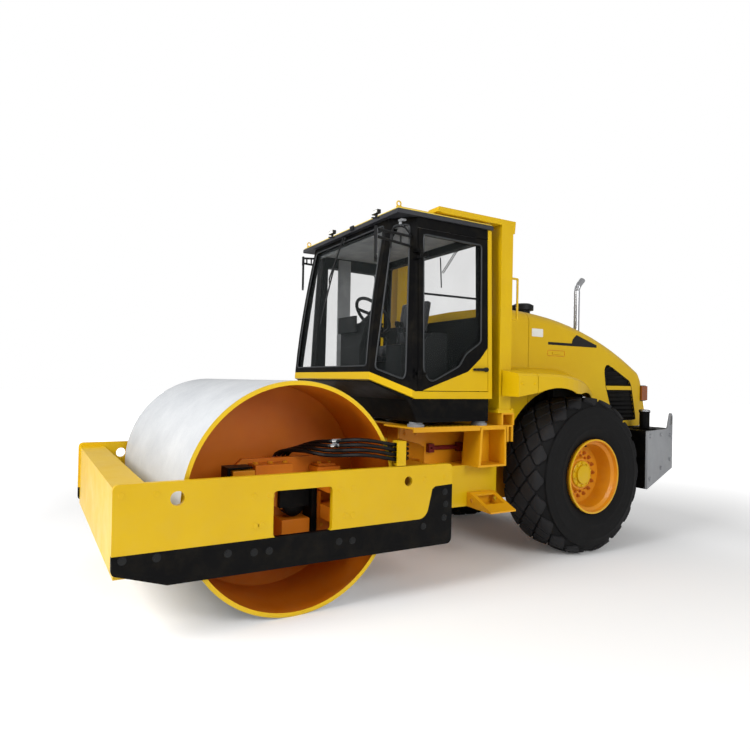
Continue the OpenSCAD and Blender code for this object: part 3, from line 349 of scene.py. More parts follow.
@dataclass(frozen=True)
class Metal:
    """Bare or plated metal with fine grain."""

    name: str
    colour: Colour = rgb(205, 205, 208)
    roughness: float = 0.25
    grain: float = 0.05

    def make(self) -> bpy.types.Material:
        """Builds the material.

        Returns:
            The material.
        """
        n = Nodes(self.name)
        wear = n.noise(40.0, 5.0, 0.6)
        dull = tuple(c * 0.72 for c in self.colour[:3]) + (1.0,)
        n.put(n.shader, "Base Color", n.mix(n.ramp(wear, 0.4, 0.7), self.colour, dull))
        n.put(n.shader, "Metallic", 1.0)
        n.put(n.shader, "Roughness", n.ramp(wear, 0.3, 0.7, self.roughness - 0.06, self.roughness + 0.1))
        n.bump(n.noise(300.0, 2.0), self.grain, 0.001)
        return n.mat


@dataclass(frozen=True)
class Rubber:
    """Black rubber with dust in its pores."""

    name: str
    colour: Colour = rgb(30, 30, 31)
    dusty: Colour = rgb(74, 70, 64)
    roughness: float = 0.72
    amount: float = 0.5

    def make(self) -> bpy.types.Material:
        """Builds the material.

        Returns:
            The material.
        """
        n = Nodes(self.name)
        dust = n.math("MULTIPLY", n.ramp(n.noise(6.0, 8.0, 0.7), 0.4, 0.75), self.amount)
        n.put(n.shader, "Base Color", n.mix(dust, self.colour, self.dusty))
        n.put(n.shader, "Roughness", n.ramp(dust, 0.0, 0.5, self.roughness - 0.12, self.roughness + 0.1))
        n.put(n.shader, "Specular IOR Level", 0.2)
        n.bump(n.noise(160.0, 4.0), 0.15, 0.001)
        return n.mat


@dataclass(frozen=True)
class Plastic:
    """Moulded plastic with a fine leather-like grain."""

    name: str
    colour: Colour = rgb(17, 18, 19)
    roughness: float = 0.5
    grain: float = 0.25
    gloss: float = 0.22

    def make(self) -> bpy.types.Material:
        """Builds the material.

        Returns:
            The material.
        """
        n = Nodes(self.name)
        pale = tuple(min(1.0, c * 1.4 + 0.003) for c in self.colour[:3]) + (1.0,)
        n.put(n.shader, "Base Color", n.mix(n.ramp(n.noise(7.0, 5.0), 0.4, 0.75), self.colour, pale))
        wear = n.noise(11.0, 4.0)
        n.put(n.shader, "Roughness", n.ramp(wear, 0.3, 0.7, self.roughness - 0.08, self.roughness + 0.08))
        n.put(n.shader, "Specular IOR Level", self.gloss)
        cells = n.add("ShaderNodeTexVoronoi", feature="DISTANCE_TO_EDGE")
        n.put(cells, "Vector", n.coord)
        n.put(cells, "Scale", 420.0)
        n.bump(n.ramp(cells.outputs["Distance"], 0.0, 0.25), self.grain, 0.0006)
        return n.mat


@dataclass(frozen=True)
class Weave:
    """Woven seat cloth."""

    name: str
    colour: Colour = rgb(36, 37, 40)
    thread: Colour = rgb(60, 61, 65)
    count: float = 420.0

    def make(self) -> bpy.types.Material:
        """Builds the material.

        Returns:
            The material.
        """
        n = Nodes(self.name)
        across = n.math("SINE", n.math("MULTIPLY", n.axis("X"), self.count * 2))
        along = n.math("SINE", n.math("MULTIPLY", n.math("ADD", n.axis("Y"), n.axis("Z")), self.count * 2))
        weave = n.math("MULTIPLY", across, along)
        n.put(n.shader, "Base Color", n.mix(n.ramp(weave, -0.6, 0.8), self.colour, self.thread))
        n.put(n.shader, "Roughness", n.ramp(n.noise(30.0), 0.3, 0.7, 0.82, 0.95))
        n.put(n.shader, "Sheen Weight", 0.25)
        n.bump(weave, 0.3, 0.0008)
        return n.mat


@dataclass(frozen=True)
class Glass:
    """Thin tinted safety glass with a little dust."""

    name: str
    tint: Colour = rgb(60, 66, 66)
    cover: float = 0.07

    def make(self) -> bpy.types.Material:
        """Builds the material: mostly see-through, with a glossy face.

        Returns:
            The material.
        """
        n = Nodes(self.name)
        n.put(n.shader, "Base Color", self.tint)
        n.put(n.shader, "Roughness", n.ramp(n.noise(4.0, 6.0, 0.65), 0.45, 0.8, 0.02, 0.08))
        n.put(n.shader, "IOR", 1.45)
        n.put(n.shader, "Specular IOR Level", 0.5)
        n.put(n.shader, "Alpha", n.ramp(n.noise(2.5, 5.0), 0.3, 0.8, self.cover, self.cover + 0.03))
        return n.mat


@dataclass(frozen=True)
class Lens:
    """Coloured lamp lens with prism rows."""

    name: str
    colour: Colour

    def make(self) -> bpy.types.Material:
        """Builds the material.

        Returns:
            The material.
        """
        n = Nodes(self.name)
        rows = n.math("SINE", n.math("MULTIPLY", n.axis("Z"), 900.0))
        deep = tuple(c * 0.45 for c in self.colour[:3]) + (1.0,)
        n.put(n.shader, "Base Color", n.mix(n.ramp(rows, -1.0, 1.0), self.colour, deep))
        n.put(n.shader, "Roughness", n.ramp(n.noise(12.0), 0.3, 0.7, 0.08, 0.2))
        n.put(n.shader, "Coat Weight", 0.6)
        n.bump(rows, 0.25, 0.001)
        return n.mat


YELLOW_PAINT = rgb(213, 174, 3)
YELLOW_SHADE = rgb(207, 166, 3)
ORANGE_PAINT = rgb(214, 142, 16)
ORANGE_SHADE = rgb(200, 126, 14)
AMBER_PAINT = rgb(222, 160, 10)
AMBER_SHADE = rgb(213, 149, 10)
# the next two: orange darkened as painted shade, for the parts inside the drum's recess
SHADED_DEEP_ORANGE = rgb(204, 112, 8)
SHADED_DEEP_ORANGE_TONE = rgb(190, 98, 8)
BLACK_PAINT = rgb(5, 5, 6)
BLACK_SHADE = rgb(9, 9, 10)


class Finish(Enum):
    """Every finish on the machine: the record's slot and how it is made."""

    YELLOW = ("yellow_paint", Paint("gloss_yellow", YELLOW_PAINT, YELLOW_SHADE))
    HOOD = ("yellow_paint", Paint("hood_paint", YELLOW_PAINT, YELLOW_SHADE, mark=hood_stripe))
    ORANGE = ("orange_paint", Paint("gloss_orange", ORANGE_PAINT, ORANGE_SHADE, roughness=0.4, coat=0.15))
    # recess and lining: orange darkened as painted shade of the drum's recess; the lining's end faces keep their
    # own yellow paint
    SHADED_RECESS = ("orange_paint", Paint("recess_shaded_paint", SHADED_DEEP_ORANGE, SHADED_DEEP_ORANGE_TONE, roughness=0.45, coat=0.1))
    LINING = ("orange_paint", Paint("lining_shaded_paint", SHADED_DEEP_ORANGE, SHADED_DEEP_ORANGE_TONE, roughness=0.45, coat=0.1,
                                    mark=drum_edge, mark_colour=rgb(226, 184, 12)))
    RIM = ("orange_paint", Paint("rim_paint", rgb(216, 142, 14), rgb(196, 114, 12), roughness=0.4, coat=0.2))
    AMBER = ("yellow_paint", Paint("amber_paint", AMBER_PAINT, AMBER_SHADE, roughness=0.38, coat=0.2))
    STEP = ("yellow_paint", Paint("step_paint", AMBER_PAINT, AMBER_SHADE, roughness=0.38, mark=lower_tank,
                                  mark_colour=YELLOW_PAINT))
    NUT = ("orange_paint", Paint("nut_paint", rgb(190, 104, 14), rgb(160, 80, 12), roughness=0.45))
    BLACK = ("black_paint", Paint("satin_black", BLACK_PAINT, BLACK_SHADE, roughness=0.42, coat=0.0, dusty=0.015,
                                  gloss=0.08))
    GREY = ("grey_paint", Paint("satin_grey", rgb(150, 152, 155), rgb(128, 130, 134), roughness=0.45, coat=0.1))
    ENGINE = ("grey_paint", Paint("engine_grey", rgb(76, 79, 82), rgb(62, 65, 68), roughness=0.5, coat=0.0,
                                  gloss=0.3))
    PLATE = ("grey_paint", Paint("plate_white", rgb(232, 232, 226), rgb(220, 220, 214), roughness=0.4, coat=0.1))
    # roof: dark grey paint, with its top edge in pale yellow that adds a painted highlight to the top's yellow
    ROOF = ("roof_grey", Paint("roof_coat_and_highlight", rgb(52, 53, 57), rgb(42, 43, 47), roughness=0.5, coat=0.0, gloss=0.3,
                               mark=roof_edge_highlight, mark_colour=rgb(228, 200, 84)))
    LINER = ("roof_grey", Plastic("liner_grey", rgb(150, 152, 154), 0.75, 0.1))
    RED = ("red_paint", Paint("satin_red", rgb(104, 22, 24), rgb(88, 18, 20), roughness=0.45, coat=0.05))
    DRUM = ("drum_steel", RolledSteel("rolled_steel"))
    STEEL = ("bare_steel", Metal("bright_steel", rgb(206, 207, 210), 0.3, 0.1))
    CHROME = ("chrome_rod", Metal("chrome", rgb(222, 223, 226), 0.12, 0.02))
    TYRE = ("tyre_rubber", Rubber("tread_rubber", rgb(28, 28, 30), rgb(52, 50, 48), 0.8, 0.3))
    GROOVE = ("tyre_rubber", Rubber("groove_rubber", rgb(10, 10, 11), rgb(24, 23, 22), 0.85, 0.3))
    HOSE = ("hose_rubber", Rubber("hose_skin", rgb(12, 12, 13), rgb(26, 25, 24), 0.5, 0.25))
    MOUNT = ("hose_rubber", Rubber("mount_grey", rgb(128, 130, 132), rgb(150, 150, 150), 0.45, 0.3))
    # window seals: black rubber coloured mid-grey as painted highlight along their rounded edges
    SEAL_HIGHLIGHT = ("hose_rubber", Rubber("seal_rubber_highlight", rgb(54, 56, 58), rgb(74, 76, 78), 0.45, 0.4))
    PLASTIC = ("black_plastic", Plastic("black_moulding"))
    LENS = ("lamp_lens", Lens("orange_lens", rgb(160, 80, 12)))
    CLOTH = ("seat_fabric", Weave("seat_weave"))
    GLASS = ("glass", Glass("window_glass"))

    @property
    def slot(self) -> str:
        """The record's slot name."""
        return self.value[0]

    @property
    def material(self) -> bpy.types.Material:
        """The material, made on first use."""
        made = bpy.data.materials.get(self.value[1].name)
        return made or self.value[1].make()


# Mesh tools


def turns(count: int, phase: float = 0.0) -> list[float]:
    """Angles that divide a full turn evenly, shifted by a share of one step."""
    return [2 * math.pi * (k + phase) / count for k in range(count)]


def disc(radius: float, high: float, low: float = 0.0) -> list[Pair]:
    """Section of a plain round disc, for lathe."""
    return [(0, low), (radius, low), (radius, high), (0, high)]


class Shape:
    """Collects solid forms in one mesh, in the model's frame."""

    def __init__(self) -> None:
        """Starts empty."""
        self.bm = bmesh.new()

    def faces(self, points: Sequence[Point], faces: Sequence[Sequence[int]]) -> "Shape":
        """Adds points and faces.

        Args:
            points: the corners.
            faces: rows of corner numbers.

        Returns:
            This shape.
        """
        verts = [self.bm.verts.new(Vector(p)) for p in points]
        for face in faces:
            if len(set(face)) > 2:
                self.bm.faces.new([verts[i] for i in face])
        return self

    def box(self, low: Point, high: Point) -> "Shape":
        """Adds a block between two corners given from the drum axle.

        Args:
            low: one corner.
            high: the opposite corner.

        Returns:
            This shape.
        """
        (a, b, c), (d, e, f) = at(*low), at(*high)
        points = [(a, b, c), (d, b, c), (d, e, c), (a, e, c), (a, b, f), (d, b, f), (d, e, f), (a, e, f)]
        walls = [(0, 1, 5, 4), (1, 2, 6, 5), (2, 3, 7, 6), (3, 0, 4, 7)]
        return self.faces(points, [(3, 2, 1, 0), (4, 5, 6, 7)] + walls)

    def loft(self, rings: Sequence[Sequence[Point]], closed: bool = False) -> "Shape":
        """Skins rings of equal length, with flat ends unless it closes on itself.

        Args:
            rings: sections in order, each wound the same way.
            closed: joins the last ring to the first and leaves out the ends.

        Returns:
            This shape.
        """
        n, m = len(rings[0]), len(rings)
        points = [p for ring in rings for p in ring]
        quads = []
        for i in range(m if closed else m - 1):
            a, b = i * n, ((i + 1) % m) * n
            quads += [(a + j, a + (j + 1) % n, b + (j + 1) % n, b + j) for j in range(n)]
        ends = [] if closed else [tuple(reversed(range(n))), tuple(range((m - 1) * n, m * n))]
        return self.faces(points, quads + ends)

    def lathe(self, profile: Sequence[tuple[float, float]], centre: Point, axis: Point = (0, 0, 1),
              sides: int = 48) -> "Shape":
        """Turns a closed profile of (radius, along) points about an axis.

        Args:
            profile: points of the section, round a closed loop that stays off the axis or on it.
            centre: where the axis starts.
            axis: the direction of along.
            sides: steps round.

        Returns:
            This shape.
        """
        turn = Vector((0, 0, 1)).rotation_difference(Vector(axis).normalized()).to_matrix()
        mid = Vector(centre)
        return self.loft([[mid + turn @ Vector((r * math.cos(a), r * math.sin(a), h)) for r, h in profile]
                          for a in turns(sides)], closed=True)

    def rod(self, a: Point, b: Point, radius: float, sides: int = 16, tip: float | None = None) -> "Shape":
        """Adds a round bar from a to b, with its own radius at the tip where one is given.

        Args:
            a: its foot.
            b: its tip.
            radius: at the foot.
            sides: of its section.
            tip: radius at the tip, else the same.

        Returns:
            This shape.
        """
        va, vb = Vector(a), Vector(b)
        d = (vb - va).normalized()
        u = d.orthogonal().normalized()
        v = d.cross(u)
        ends = []
        for centre, r in ((va, radius), (vb, radius if tip is None else tip)):
            ends.append([centre + r * (math.cos(t) * u + math.sin(t) * v) for t in turns(sides)])
        return self.loft(ends)

    def tube(self, route: Sequence[Point], radius: float, sides: int = 10, closed: bool = False) -> "Shape":
        """Adds a round tube along a route, with no twist.

        Args:
            route: its middle line.
            radius: of the tube.
            sides: of its section.
            closed: joins the end to the start.

        Returns:
            This shape.
        """
        pts = [Vector(p) for p in route]
        n = len(pts)
        if closed:
            heading = [(pts[(i + 1) % n] - pts[i - 1]).normalized() for i in range(n)]
        else:
            heading = [(pts[min(i + 1, n - 1)] - pts[max(i - 1, 0)]).normalized() for i in range(n)]
        u = heading[0].orthogonal().normalized()
        rings = []
        for p, t in zip(pts, heading):
            u = (u - t * u.dot(t)).normalized()
            v = t.cross(u)
            rings.append([p + radius * (math.cos(a) * u + math.sin(a) * v) for a in turns(sides)])
        return self.loft(rings, closed)

    def prism(self, outline: Sequence[Point], depth: Point) -> "Shape":
        """Adds a plate: an outline of points moved along depth."""
        d = Vector(depth)
        return self.loft([[Vector(p) for p in outline], [Vector(p) + d for p in outline]])

    def weld(self) -> "Shape":
        """Merges doubles and turns every face outwards.

        Returns:
            This shape.
        """
        bmesh.ops.remove_doubles(self.bm, verts=self.bm.verts[:], dist=1e-5)
        bmesh.ops.dissolve_degenerate(self.bm, edges=self.bm.edges[:], dist=1e-6)
        bmesh.ops.recalc_face_normals(self.bm, faces=self.bm.faces[:])
        return self

    def mesh(self, name: str) -> bpy.types.Mesh:
        """Returns the finished mesh.

        Args:
            name: of the mesh.

        Returns:
            The mesh, with which this shape ends.
        """
        self.weld()
        data = bpy.data.meshes.new(name)
        self.bm.to_mesh(data)
        self.bm.free()
        return data


def smooth_route(points: Sequence[Point], steps: int) -> list[Vector]:
    """A smooth curve through given points.

    Args:
        points: that the curve passes.
        steps: pieces between two of them.

    Returns:
        Points along the curve.
    """
    p = [Vector(q) for q in points]
    out = []
    for i in range(len(p) - 1):
        a, b, c, d = p[max(i - 1, 0)], p[i], p[i + 1], p[min(i + 2, len(p) - 1)]
        for k in range(steps):
            t = k / steps
            out.append(0.5 * (2 * b + (c - a) * t + (2 * a - 5 * b + 4 * c - d) * t * t
                              + (3 * b - a - 3 * c + d) * t ** 3))
    return out + [p[-1]]


def round_corners(points: Sequence[Vector], radius: float, steps: int = 5) -> list[Vector]:
    """A closed outline with each corner replaced by a short curve.

    Args:
        points: its corners.
        radius: length cut from each side of a corner.
        steps: pieces of each corner.

    Returns:
        The rounded outline.
    """
    out = []
    n = len(points)
    for i, p in enumerate(points):
        before, after = points[i - 1], points[(i + 1) % n]
        a = p + (before - p).normalized() * min(radius, (before - p).length * 0.45)
        b = p + (after - p).normalized() * min(radius, (after - p).length * 0.45)
        for k in range(steps + 1):
            t = k / steps
            out.append(a * (1 - t) ** 2 + p * 2 * t * (1 - t) + b * t * t)
    return out


def set_smooth(data: bpy.types.Mesh, angle: float = 35.0) -> None:
    """Smooth shading with sharp edges past an angle in degrees.

    Args:
        data: the mesh.
        angle: edges sharper than this stay sharp.
    """
    bm = bmesh.new()
    bm.from_mesh(data)
    for edge in bm.edges:
        edge.smooth = len(edge.link_faces) == 2 and edge.calc_face_angle(3.2) < math.radians(angle)
    for face in bm.faces:
        face.smooth = True
    bm.to_mesh(data)
    bm.free()


def publish(shape: Shape | bpy.types.Mesh, name: str, body: Body, finish: Finish, *, bevel: float = 0.0,
            stands_for: Iterable[str] = (), angle: float = 35.0) -> bpy.types.Object:
    """Turns a shape into a finished piece that rides on a body.

    Args:
        shape: the collected forms, or a plain mesh.
        name: the piece's name.
        body: what it moves with.
        finish: its material and slot.
        bevel: edge radius in metres, 0 for none.
        stands_for: CAD nodes that it replaces.
        angle: edges sharper than this stay sharp.

    Returns:
        The new object.
    """
    data = shape.mesh(name) if isinstance(shape, Shape) else shape
    set_smooth(data, angle)
    data.materials.clear()
    data.materials.append(finish.material)
    obj = bpy.data.objects.new(name, data)
    bpy.context.scene.collection.objects.link(obj)
    if bevel:
        mod = obj.modifiers.new("edges", "BEVEL")
        mod.width, mod.segments, mod.limit_method, mod.angle_limit = bevel, 2, "ANGLE", math.radians(40)
        mod.harden_normals = True
    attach(obj, body.value)
    nodes = list(stands_for)
    if nodes:
        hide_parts(*nodes)
    LOG.info("%s rides on %s", name, body.value)
    return obj


def dress(node: str, finish: Finish) -> None:
    """Gives a CAD node its material.

    Args:
        node: its name.
        finish: its material and slot.
    """
    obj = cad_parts[node]
    obj.data.materials.clear()
    obj.data.materials.append(finish.material)
    LOG.info("%s gets %s", node, finish.slot)


@dataclass(frozen=True)
class Spot:
    """Where one repeated piece stands: its place, the way that its top points, its size and its spin."""

    place: tuple[float, float, float]
    way: tuple[float, float, float] = (0.0, 0.0, 1.0)
    size: float = 1.0
    spin: float = 0.0

    def turn(self) -> tuple[float, float, float]:
        """Its rotation as XYZ angles."""
        tilt = Vector((0, 0, 1)).rotation_difference(Vector(self.way))
        return tuple((tilt.to_matrix() @ Matrix.Rotation(self.spin, 3, "Z")).to_euler("XYZ"))


class Repeater:
    """Geometry Nodes tree that sets one small shape on many spots and makes them real."""

    def __init__(self) -> None:
        """Builds the tree with its named inputs."""
        self.tree = bpy.data.node_groups.new("repeat_on_spots", "GeometryNodeTree")
        face = self.tree.interface
        kinds = {"Spots": "Geometry", "Piece": "Object", "Size": "Float", "Finish": "Material"}
        self.sockets = {name: face.new_socket(name, in_out="INPUT", socket_type=f"NodeSocket{kind}").identifier
                        for name, kind in kinds.items()}
        face.new_socket("Pieces", in_out="OUTPUT", socket_type="NodeSocketGeometry")
        new, link = self.tree.nodes.new, self.tree.links.new
        start, end = new("NodeGroupInput"), new("NodeGroupOutput")
        info, place = new("GeometryNodeObjectInfo"), new("GeometryNodeInstanceOnPoints")
        turn, grow = new("GeometryNodeInputNamedAttribute"), new("GeometryNodeInputNamedAttribute")
        turn.data_type, grow.data_type = "FLOAT_VECTOR", "FLOAT"
        turn.inputs["Name"].default_value, grow.inputs["Name"].default_value = "turn", "grow"
        scale = new("ShaderNodeMath")
        scale.operation = "MULTIPLY"
        real, paint = new("GeometryNodeRealizeInstances"), new("GeometryNodeSetMaterial")
        link(start.outputs["Spots"], place.inputs["Points"])
        link(start.outputs["Piece"], info.inputs["Object"])
        link(info.outputs["Geometry"], place.inputs["Instance"])
        link(turn.outputs["Attribute"], place.inputs["Rotation"])
        link(grow.outputs["Attribute"], scale.inputs[0])
        link(start.outputs["Size"], scale.inputs[1])
        link(scale.outputs[0], place.inputs["Scale"])
        link(place.outputs["Instances"], real.inputs["Geometry"])
        link(real.outputs["Geometry"], paint.inputs["Geometry"])
        link(start.outputs["Finish"], paint.inputs["Material"])
        link(paint.outputs["Geometry"], end.inputs["Pieces"])

    def build(self, name: str, unit: Shape, spots: Sequence[Spot], finish: Finish,
              size: float = 1.0) -> bpy.types.Mesh:
        """Sets the unit on every spot.

        Args:
            name: of the mesh.
            unit: the repeated shape, its foot at the origin and its top towards +Z.
            spots: where the copies stand.
            finish: their material.
            size: scale of all copies.

        Returns:
            One plain mesh with every copy.
        """
        piece = bpy.data.objects.new(name + "_unit", unit.mesh(name + "_unit"))
        cloud = bpy.data.meshes.new(name + "_spots")
        cloud.from_pydata([s.place for s in spots], [], [])
        cloud.attributes.new("turn", "FLOAT_VECTOR", "POINT").data.foreach_set(
            "vector", [angle for s in spots for angle in s.turn()])
        cloud.attributes.new("grow", "FLOAT", "POINT").data.foreach_set("value", [s.size for s in spots])
        carrier = bpy.data.objects.new(name + "_spots", cloud)
        bpy.context.scene.collection.objects.link(carrier)
        mod = carrier.modifiers.new("repeat", "NODES")
        mod.node_group = self.tree
        mod[self.sockets["Piece"]] = piece
        mod[self.sockets["Size"]] = size
        mod[self.sockets["Finish"]] = finish.material
        graph = bpy.context.evaluated_depsgraph_get()
        data = bpy.data.meshes.new_from_object(carrier.evaluated_get(graph))
        data.name = name
        carrier.modifiers.remove(mod)
        for leftover in (carrier, piece):
            bpy.data.objects.remove(leftover)
        return data


def hex_bolt() -> Shape:
    """A hexagon head on its washer, one unit in radius, its foot at the origin."""
    bolt = Shape().lathe(disc(1.25, 0.14), (0, 0, 0), sides=14)
    return bolt.lathe([(0, 0.1), (0.95, 0.1), (0.95, 0.62), (0.82, 0.74), (0, 0.74)], (0, 0, 0), sides=6)


def flat_bolt() -> Shape:
    """A low hexagon head on its washer, one unit in radius, its foot at the origin."""
    bolt = Shape().lathe(disc(1.2, 0.06), (0, 0, 0), sides=20)
    return bolt.lathe([(0, 0.05), (0.92, 0.05), (0.92, 0.16), (0.84, 0.21), (0, 0.21)], (0, 0, 0), sides=6)


def wheel_nut() -> Shape:
    """A hexagon nut with its cone seat and the end of its stud.

    Returns:
        The nut, one unit in radius, its foot at the origin.
    """
    nut = Shape().lathe([(0, 0), (1.3, 0), (1.1, 0.25), (0, 0.25)], (0, 0, 0), sides=12)
    nut.lathe([(0, 0.2), (1.0, 0.2), (1.0, 0.95), (0.85, 1.1), (0, 1.1)], (0, 0, 0), sides=6)
    return nut.lathe([(0, 1.0), (0.5, 1.0), (0.5, 1.5), (0.4, 1.6), (0, 1.6)], (0, 0, 0), sides=8)


@dataclass
class Assembly:
    """A group of pieces that shares the machine's repeater."""

    repeater: Repeater

    def repeat(self, name: str, unit: Shape, spots: Sequence[Spot], body: Body, finish: Finish,
               size: float = 1.0) -> None:
        """Publishes a piece that is one small shape on many spots.

        Args:
            name: of the piece.
            unit: the repeated shape.
            spots: where the copies stand.
            body: what the piece moves with.
            finish: its material and slot.
            size: scale of all copies.
        """
        publish(self.repeater.build(name, unit, spots, finish, size), name, body, finish)


# Front frame and drum


@dataclass
class FrontFrame(Assembly):
    """Bolts of the side plates, blocks in the drum's recess and the fittings of its hoses; the blocks' orange is
    darkened as painted shade of the recess, and some black blocks stand in for the shade in its gaps.

    The rows of blocks hold front y, rear y, low z, high z and how far the outer face stands past the brackets.
    """

    plate_x: float = 1.136
    bolt_r: float = 0.0215
    plate_holes: Rows = (
        (-1.155, 0.922), (-0.957, 0.916), (-0.342, 0.854), (-0.229, 0.848), (-0.334, 0.664), (-0.288, 0.665),
        (0.294, 0.847), (0.399, 0.847), (0.340, 0.665), (0.403, 0.661), (1.033, 0.869), (1.231, 0.877))
    band_holes: Rows = (
        (-1.145, 0.547), (-0.950, 0.540), (-0.512, 0.509), (-0.337, 0.494), (-0.232, 0.491), (0.291, 0.490),
        (0.399, 0.484), (1.024, 0.518), (1.227, 0.763), (1.236, 0.668), (1.223, 0.565))
    bracket_x: Pair = (0.781, 0.92)
    blocks: Rows = (
        (-0.254, 0.03, 0.945, 1.012, 0.0), (-0.20, -0.04, 0.86, 0.9445, -0.02), (0.225, 0.415, 0.93, 0.975, 0.0),
        (0.25, 0.39, 0.9755, 0.995, -0.03), (-0.05, 0.168, 0.46, 0.618, 0.0), (0.232, 0.262, 0.46, 0.80, -0.01),
        (0.2625, 0.43, 0.46, 0.80, -0.09), (0.4305, 0.465, 0.46, 0.80, 0.0))
    clamps: Rows = ((-0.42, -0.262, 0.93, 0.985, 0.015),)
    # black blocks; the last two are dark sheets that stand in for the shade of a gap and of the drum's interior
    pads_and_shade: Rows = (
        (-0.452, -0.4305, 0.89, 0.9945, 0.0), (-0.4525, -0.27, 0.995, 1.006, 0.0), (0.178, 0.218, 0.46, 0.83, 0.01),
        (-0.06, 0.172, 0.70, 0.83, -0.02))
    motor: Rows = ((0, 0), (0.085, 0), (0.085, 0.10), (0.07, 0.112), (0.03, 0.116), (0, 0.116))
    head_x: float = 0.84
    port: tuple[float, float, float] = (0.62, 0.06, 0.9562)
    valve_port: tuple[float, float, float] = (0.2505, 1.272, 0.960)
    hose_pitch: float = 0.036

    def plate_bolts(self) -> None:
        """Sets the bolt heads on the outer faces of both side plates."""
        for name, holes, finish in (("plate_bolts", self.plate_holes, Finish.YELLOW),
                                    ("band_bolts", self.band_holes, Finish.PLASTIC)):
            spots = [Spot(tuple(at(s * self.plate_x, y, z)), (s, 0, 0), spin=0.3 * i)
                     for s in BOTH for i, (y, z) in enumerate(holes)]
            self.repeat(name, flat_bolt(), spots, Body.FRONT, finish, self.bolt_r)

    def bracket_blocks(self, rows: Rows) -> Shape:
        """Blocks that stand on the brackets of both sides.

        Args:
            rows: the blocks, as this class gives them.

        Returns:
            The blocks.
        """
        shape = Shape()
        low, high = self.bracket_x
        for s in BOTH:
            for y0, y1, z0, z1, out in rows:
                shape.box((s * low, y0, z0), (s * (high + out), y1, z1))
        return shape

    def recess_brackets(self) -> None:
        """Adds the orange blocks, darkened as painted shade, the clamps, the black fillers, some of which stand in
        for shade in a gap and in the drum's interior, and the motor cover on the hub brackets, with their bolts.
        """
        pads_and_shade = self.bracket_blocks(self.pads_and_shade)
        spots = []
        for s in BOTH:
            pads_and_shade.lathe(self.motor, at(s * 0.7805, 0.06, 0.715), (s, 0, 0), 28)
            spots += [Spot(tuple(at(s * self.head_x, y, 1.0122)), UP, 1.3, y) for y in (-0.225, -0.113, 0.0)]
            spots += [Spot(tuple(at(s * self.head_x, y, 0.9952)), UP, spin=y) for y in (0.28, 0.36)]
            spots += [Spot(tuple(at(s * (self.head_x + 0.0002), y, z)), (s, 0, 0), spin=z)
                      for y in (0.30, 0.39) for z in (0.54, 0.64, 0.73)]
        # orange blocks in the recess, darkened as painted shade
        publish(self.bracket_blocks(self.blocks), "recess_brackets", Body.FRONT, Finish.SHADED_RECESS, bevel=0.003)
        publish(self.bracket_blocks(self.clamps), "recess_clamps", Body.FRONT, Finish.ORANGE, bevel=0.004)
        # black blocks, partly painted shade of the recess, and the motor cover
        publish(pads_and_shade, "recess_pads", Body.FRONT, Finish.BLACK, bevel=0.003)
        self.repeat("recess_bolts", hex_bolt(), spots, Body.FRONT, Finish.ORANGE, 0.015)

    def hose_fittings(self) -> None:
        """Adds plated nuts and sleeves to both ends of the drum hoses and where they pass the rim."""
        chrome = Shape()
        for k in (-1.5, -0.5, 0.5, 1.5):
            off = k * self.hose_pitch
            foot, end = at(*self.port), at(*self.valve_port)
            foot.y += off
            end.z += off
            for place, way, nut, tall, sleeve, tip, top in ((foot, UP, 0.021, 0.03, 0.018, 0.0165, 0.07),
                                                            (end, (1, 0, 0), 0.0175, 0.028, 0.0162, 0.0155, 0.06)):
                chrome.lathe(disc(nut, tall), place, way, 6)
                chrome.lathe([(0, tall - 0.002), (sleeve, tall - 0.002), (tip, top), (0, top)], place, way, 16)
        half = Vector((0.06, 0.09, 0.006)).normalized() * 0.03
        for k in (0.5, 1.5):
            mid = at(1.03, 0.298 + k * 0.011, 1.126 + k * 0.0345)
            chrome.rod(mid - half, mid + half, 0.0175, 12)
        publish(chrome, "hose_fittings", Body.FRONT, Finish.CHROME)

    def clamp_bolts(self) -> None:
        """Sets two bolts on the hose hoop and two on the valve block."""
        spots = [Spot(tuple(at(self.plate_x, y, 1.02)), (1, 0, 0)) for y in (0.793, 0.832)]
        spots += [Spot(tuple(at(x, 1.2725, 1.085)), UP, spin=x) for x in (0.125, 0.225)]
        self.repeat("hoop_bolts", flat_bolt(), spots, Body.FRONT, Finish.YELLOW, 0.0115)

    def build(self) -> None:
        """Adds every piece of the front frame."""
        self.plate_bolts()
        self.recess_brackets()
        self.hose_fittings()
        self.clamp_bolts()


@dataclass
class Drum(Assembly):
    """Bolt circle of the drum's hubs."""

    hub_x: float = 0.57
    circle_r: float = 0.171
    axle_z: float = 0.8
    count: int = 16

    def build(self) -> None:
        """Sets the bolts of both hubs."""
        r = self.circle_r
        spots = [Spot(tuple(at(s * self.hub_x, r * math.cos(a), self.axle_z + r * math.sin(a))), (s, 0, 0))
                 for s in BOTH for a in turns(self.count)]
        # hub bolts in the orange darkened as painted shade of the recess
        self.repeat("hub_bolts", hex_bolt(), spots, Body.DRUM, Finish.SHADED_RECESS, 0.012)


# Wheels


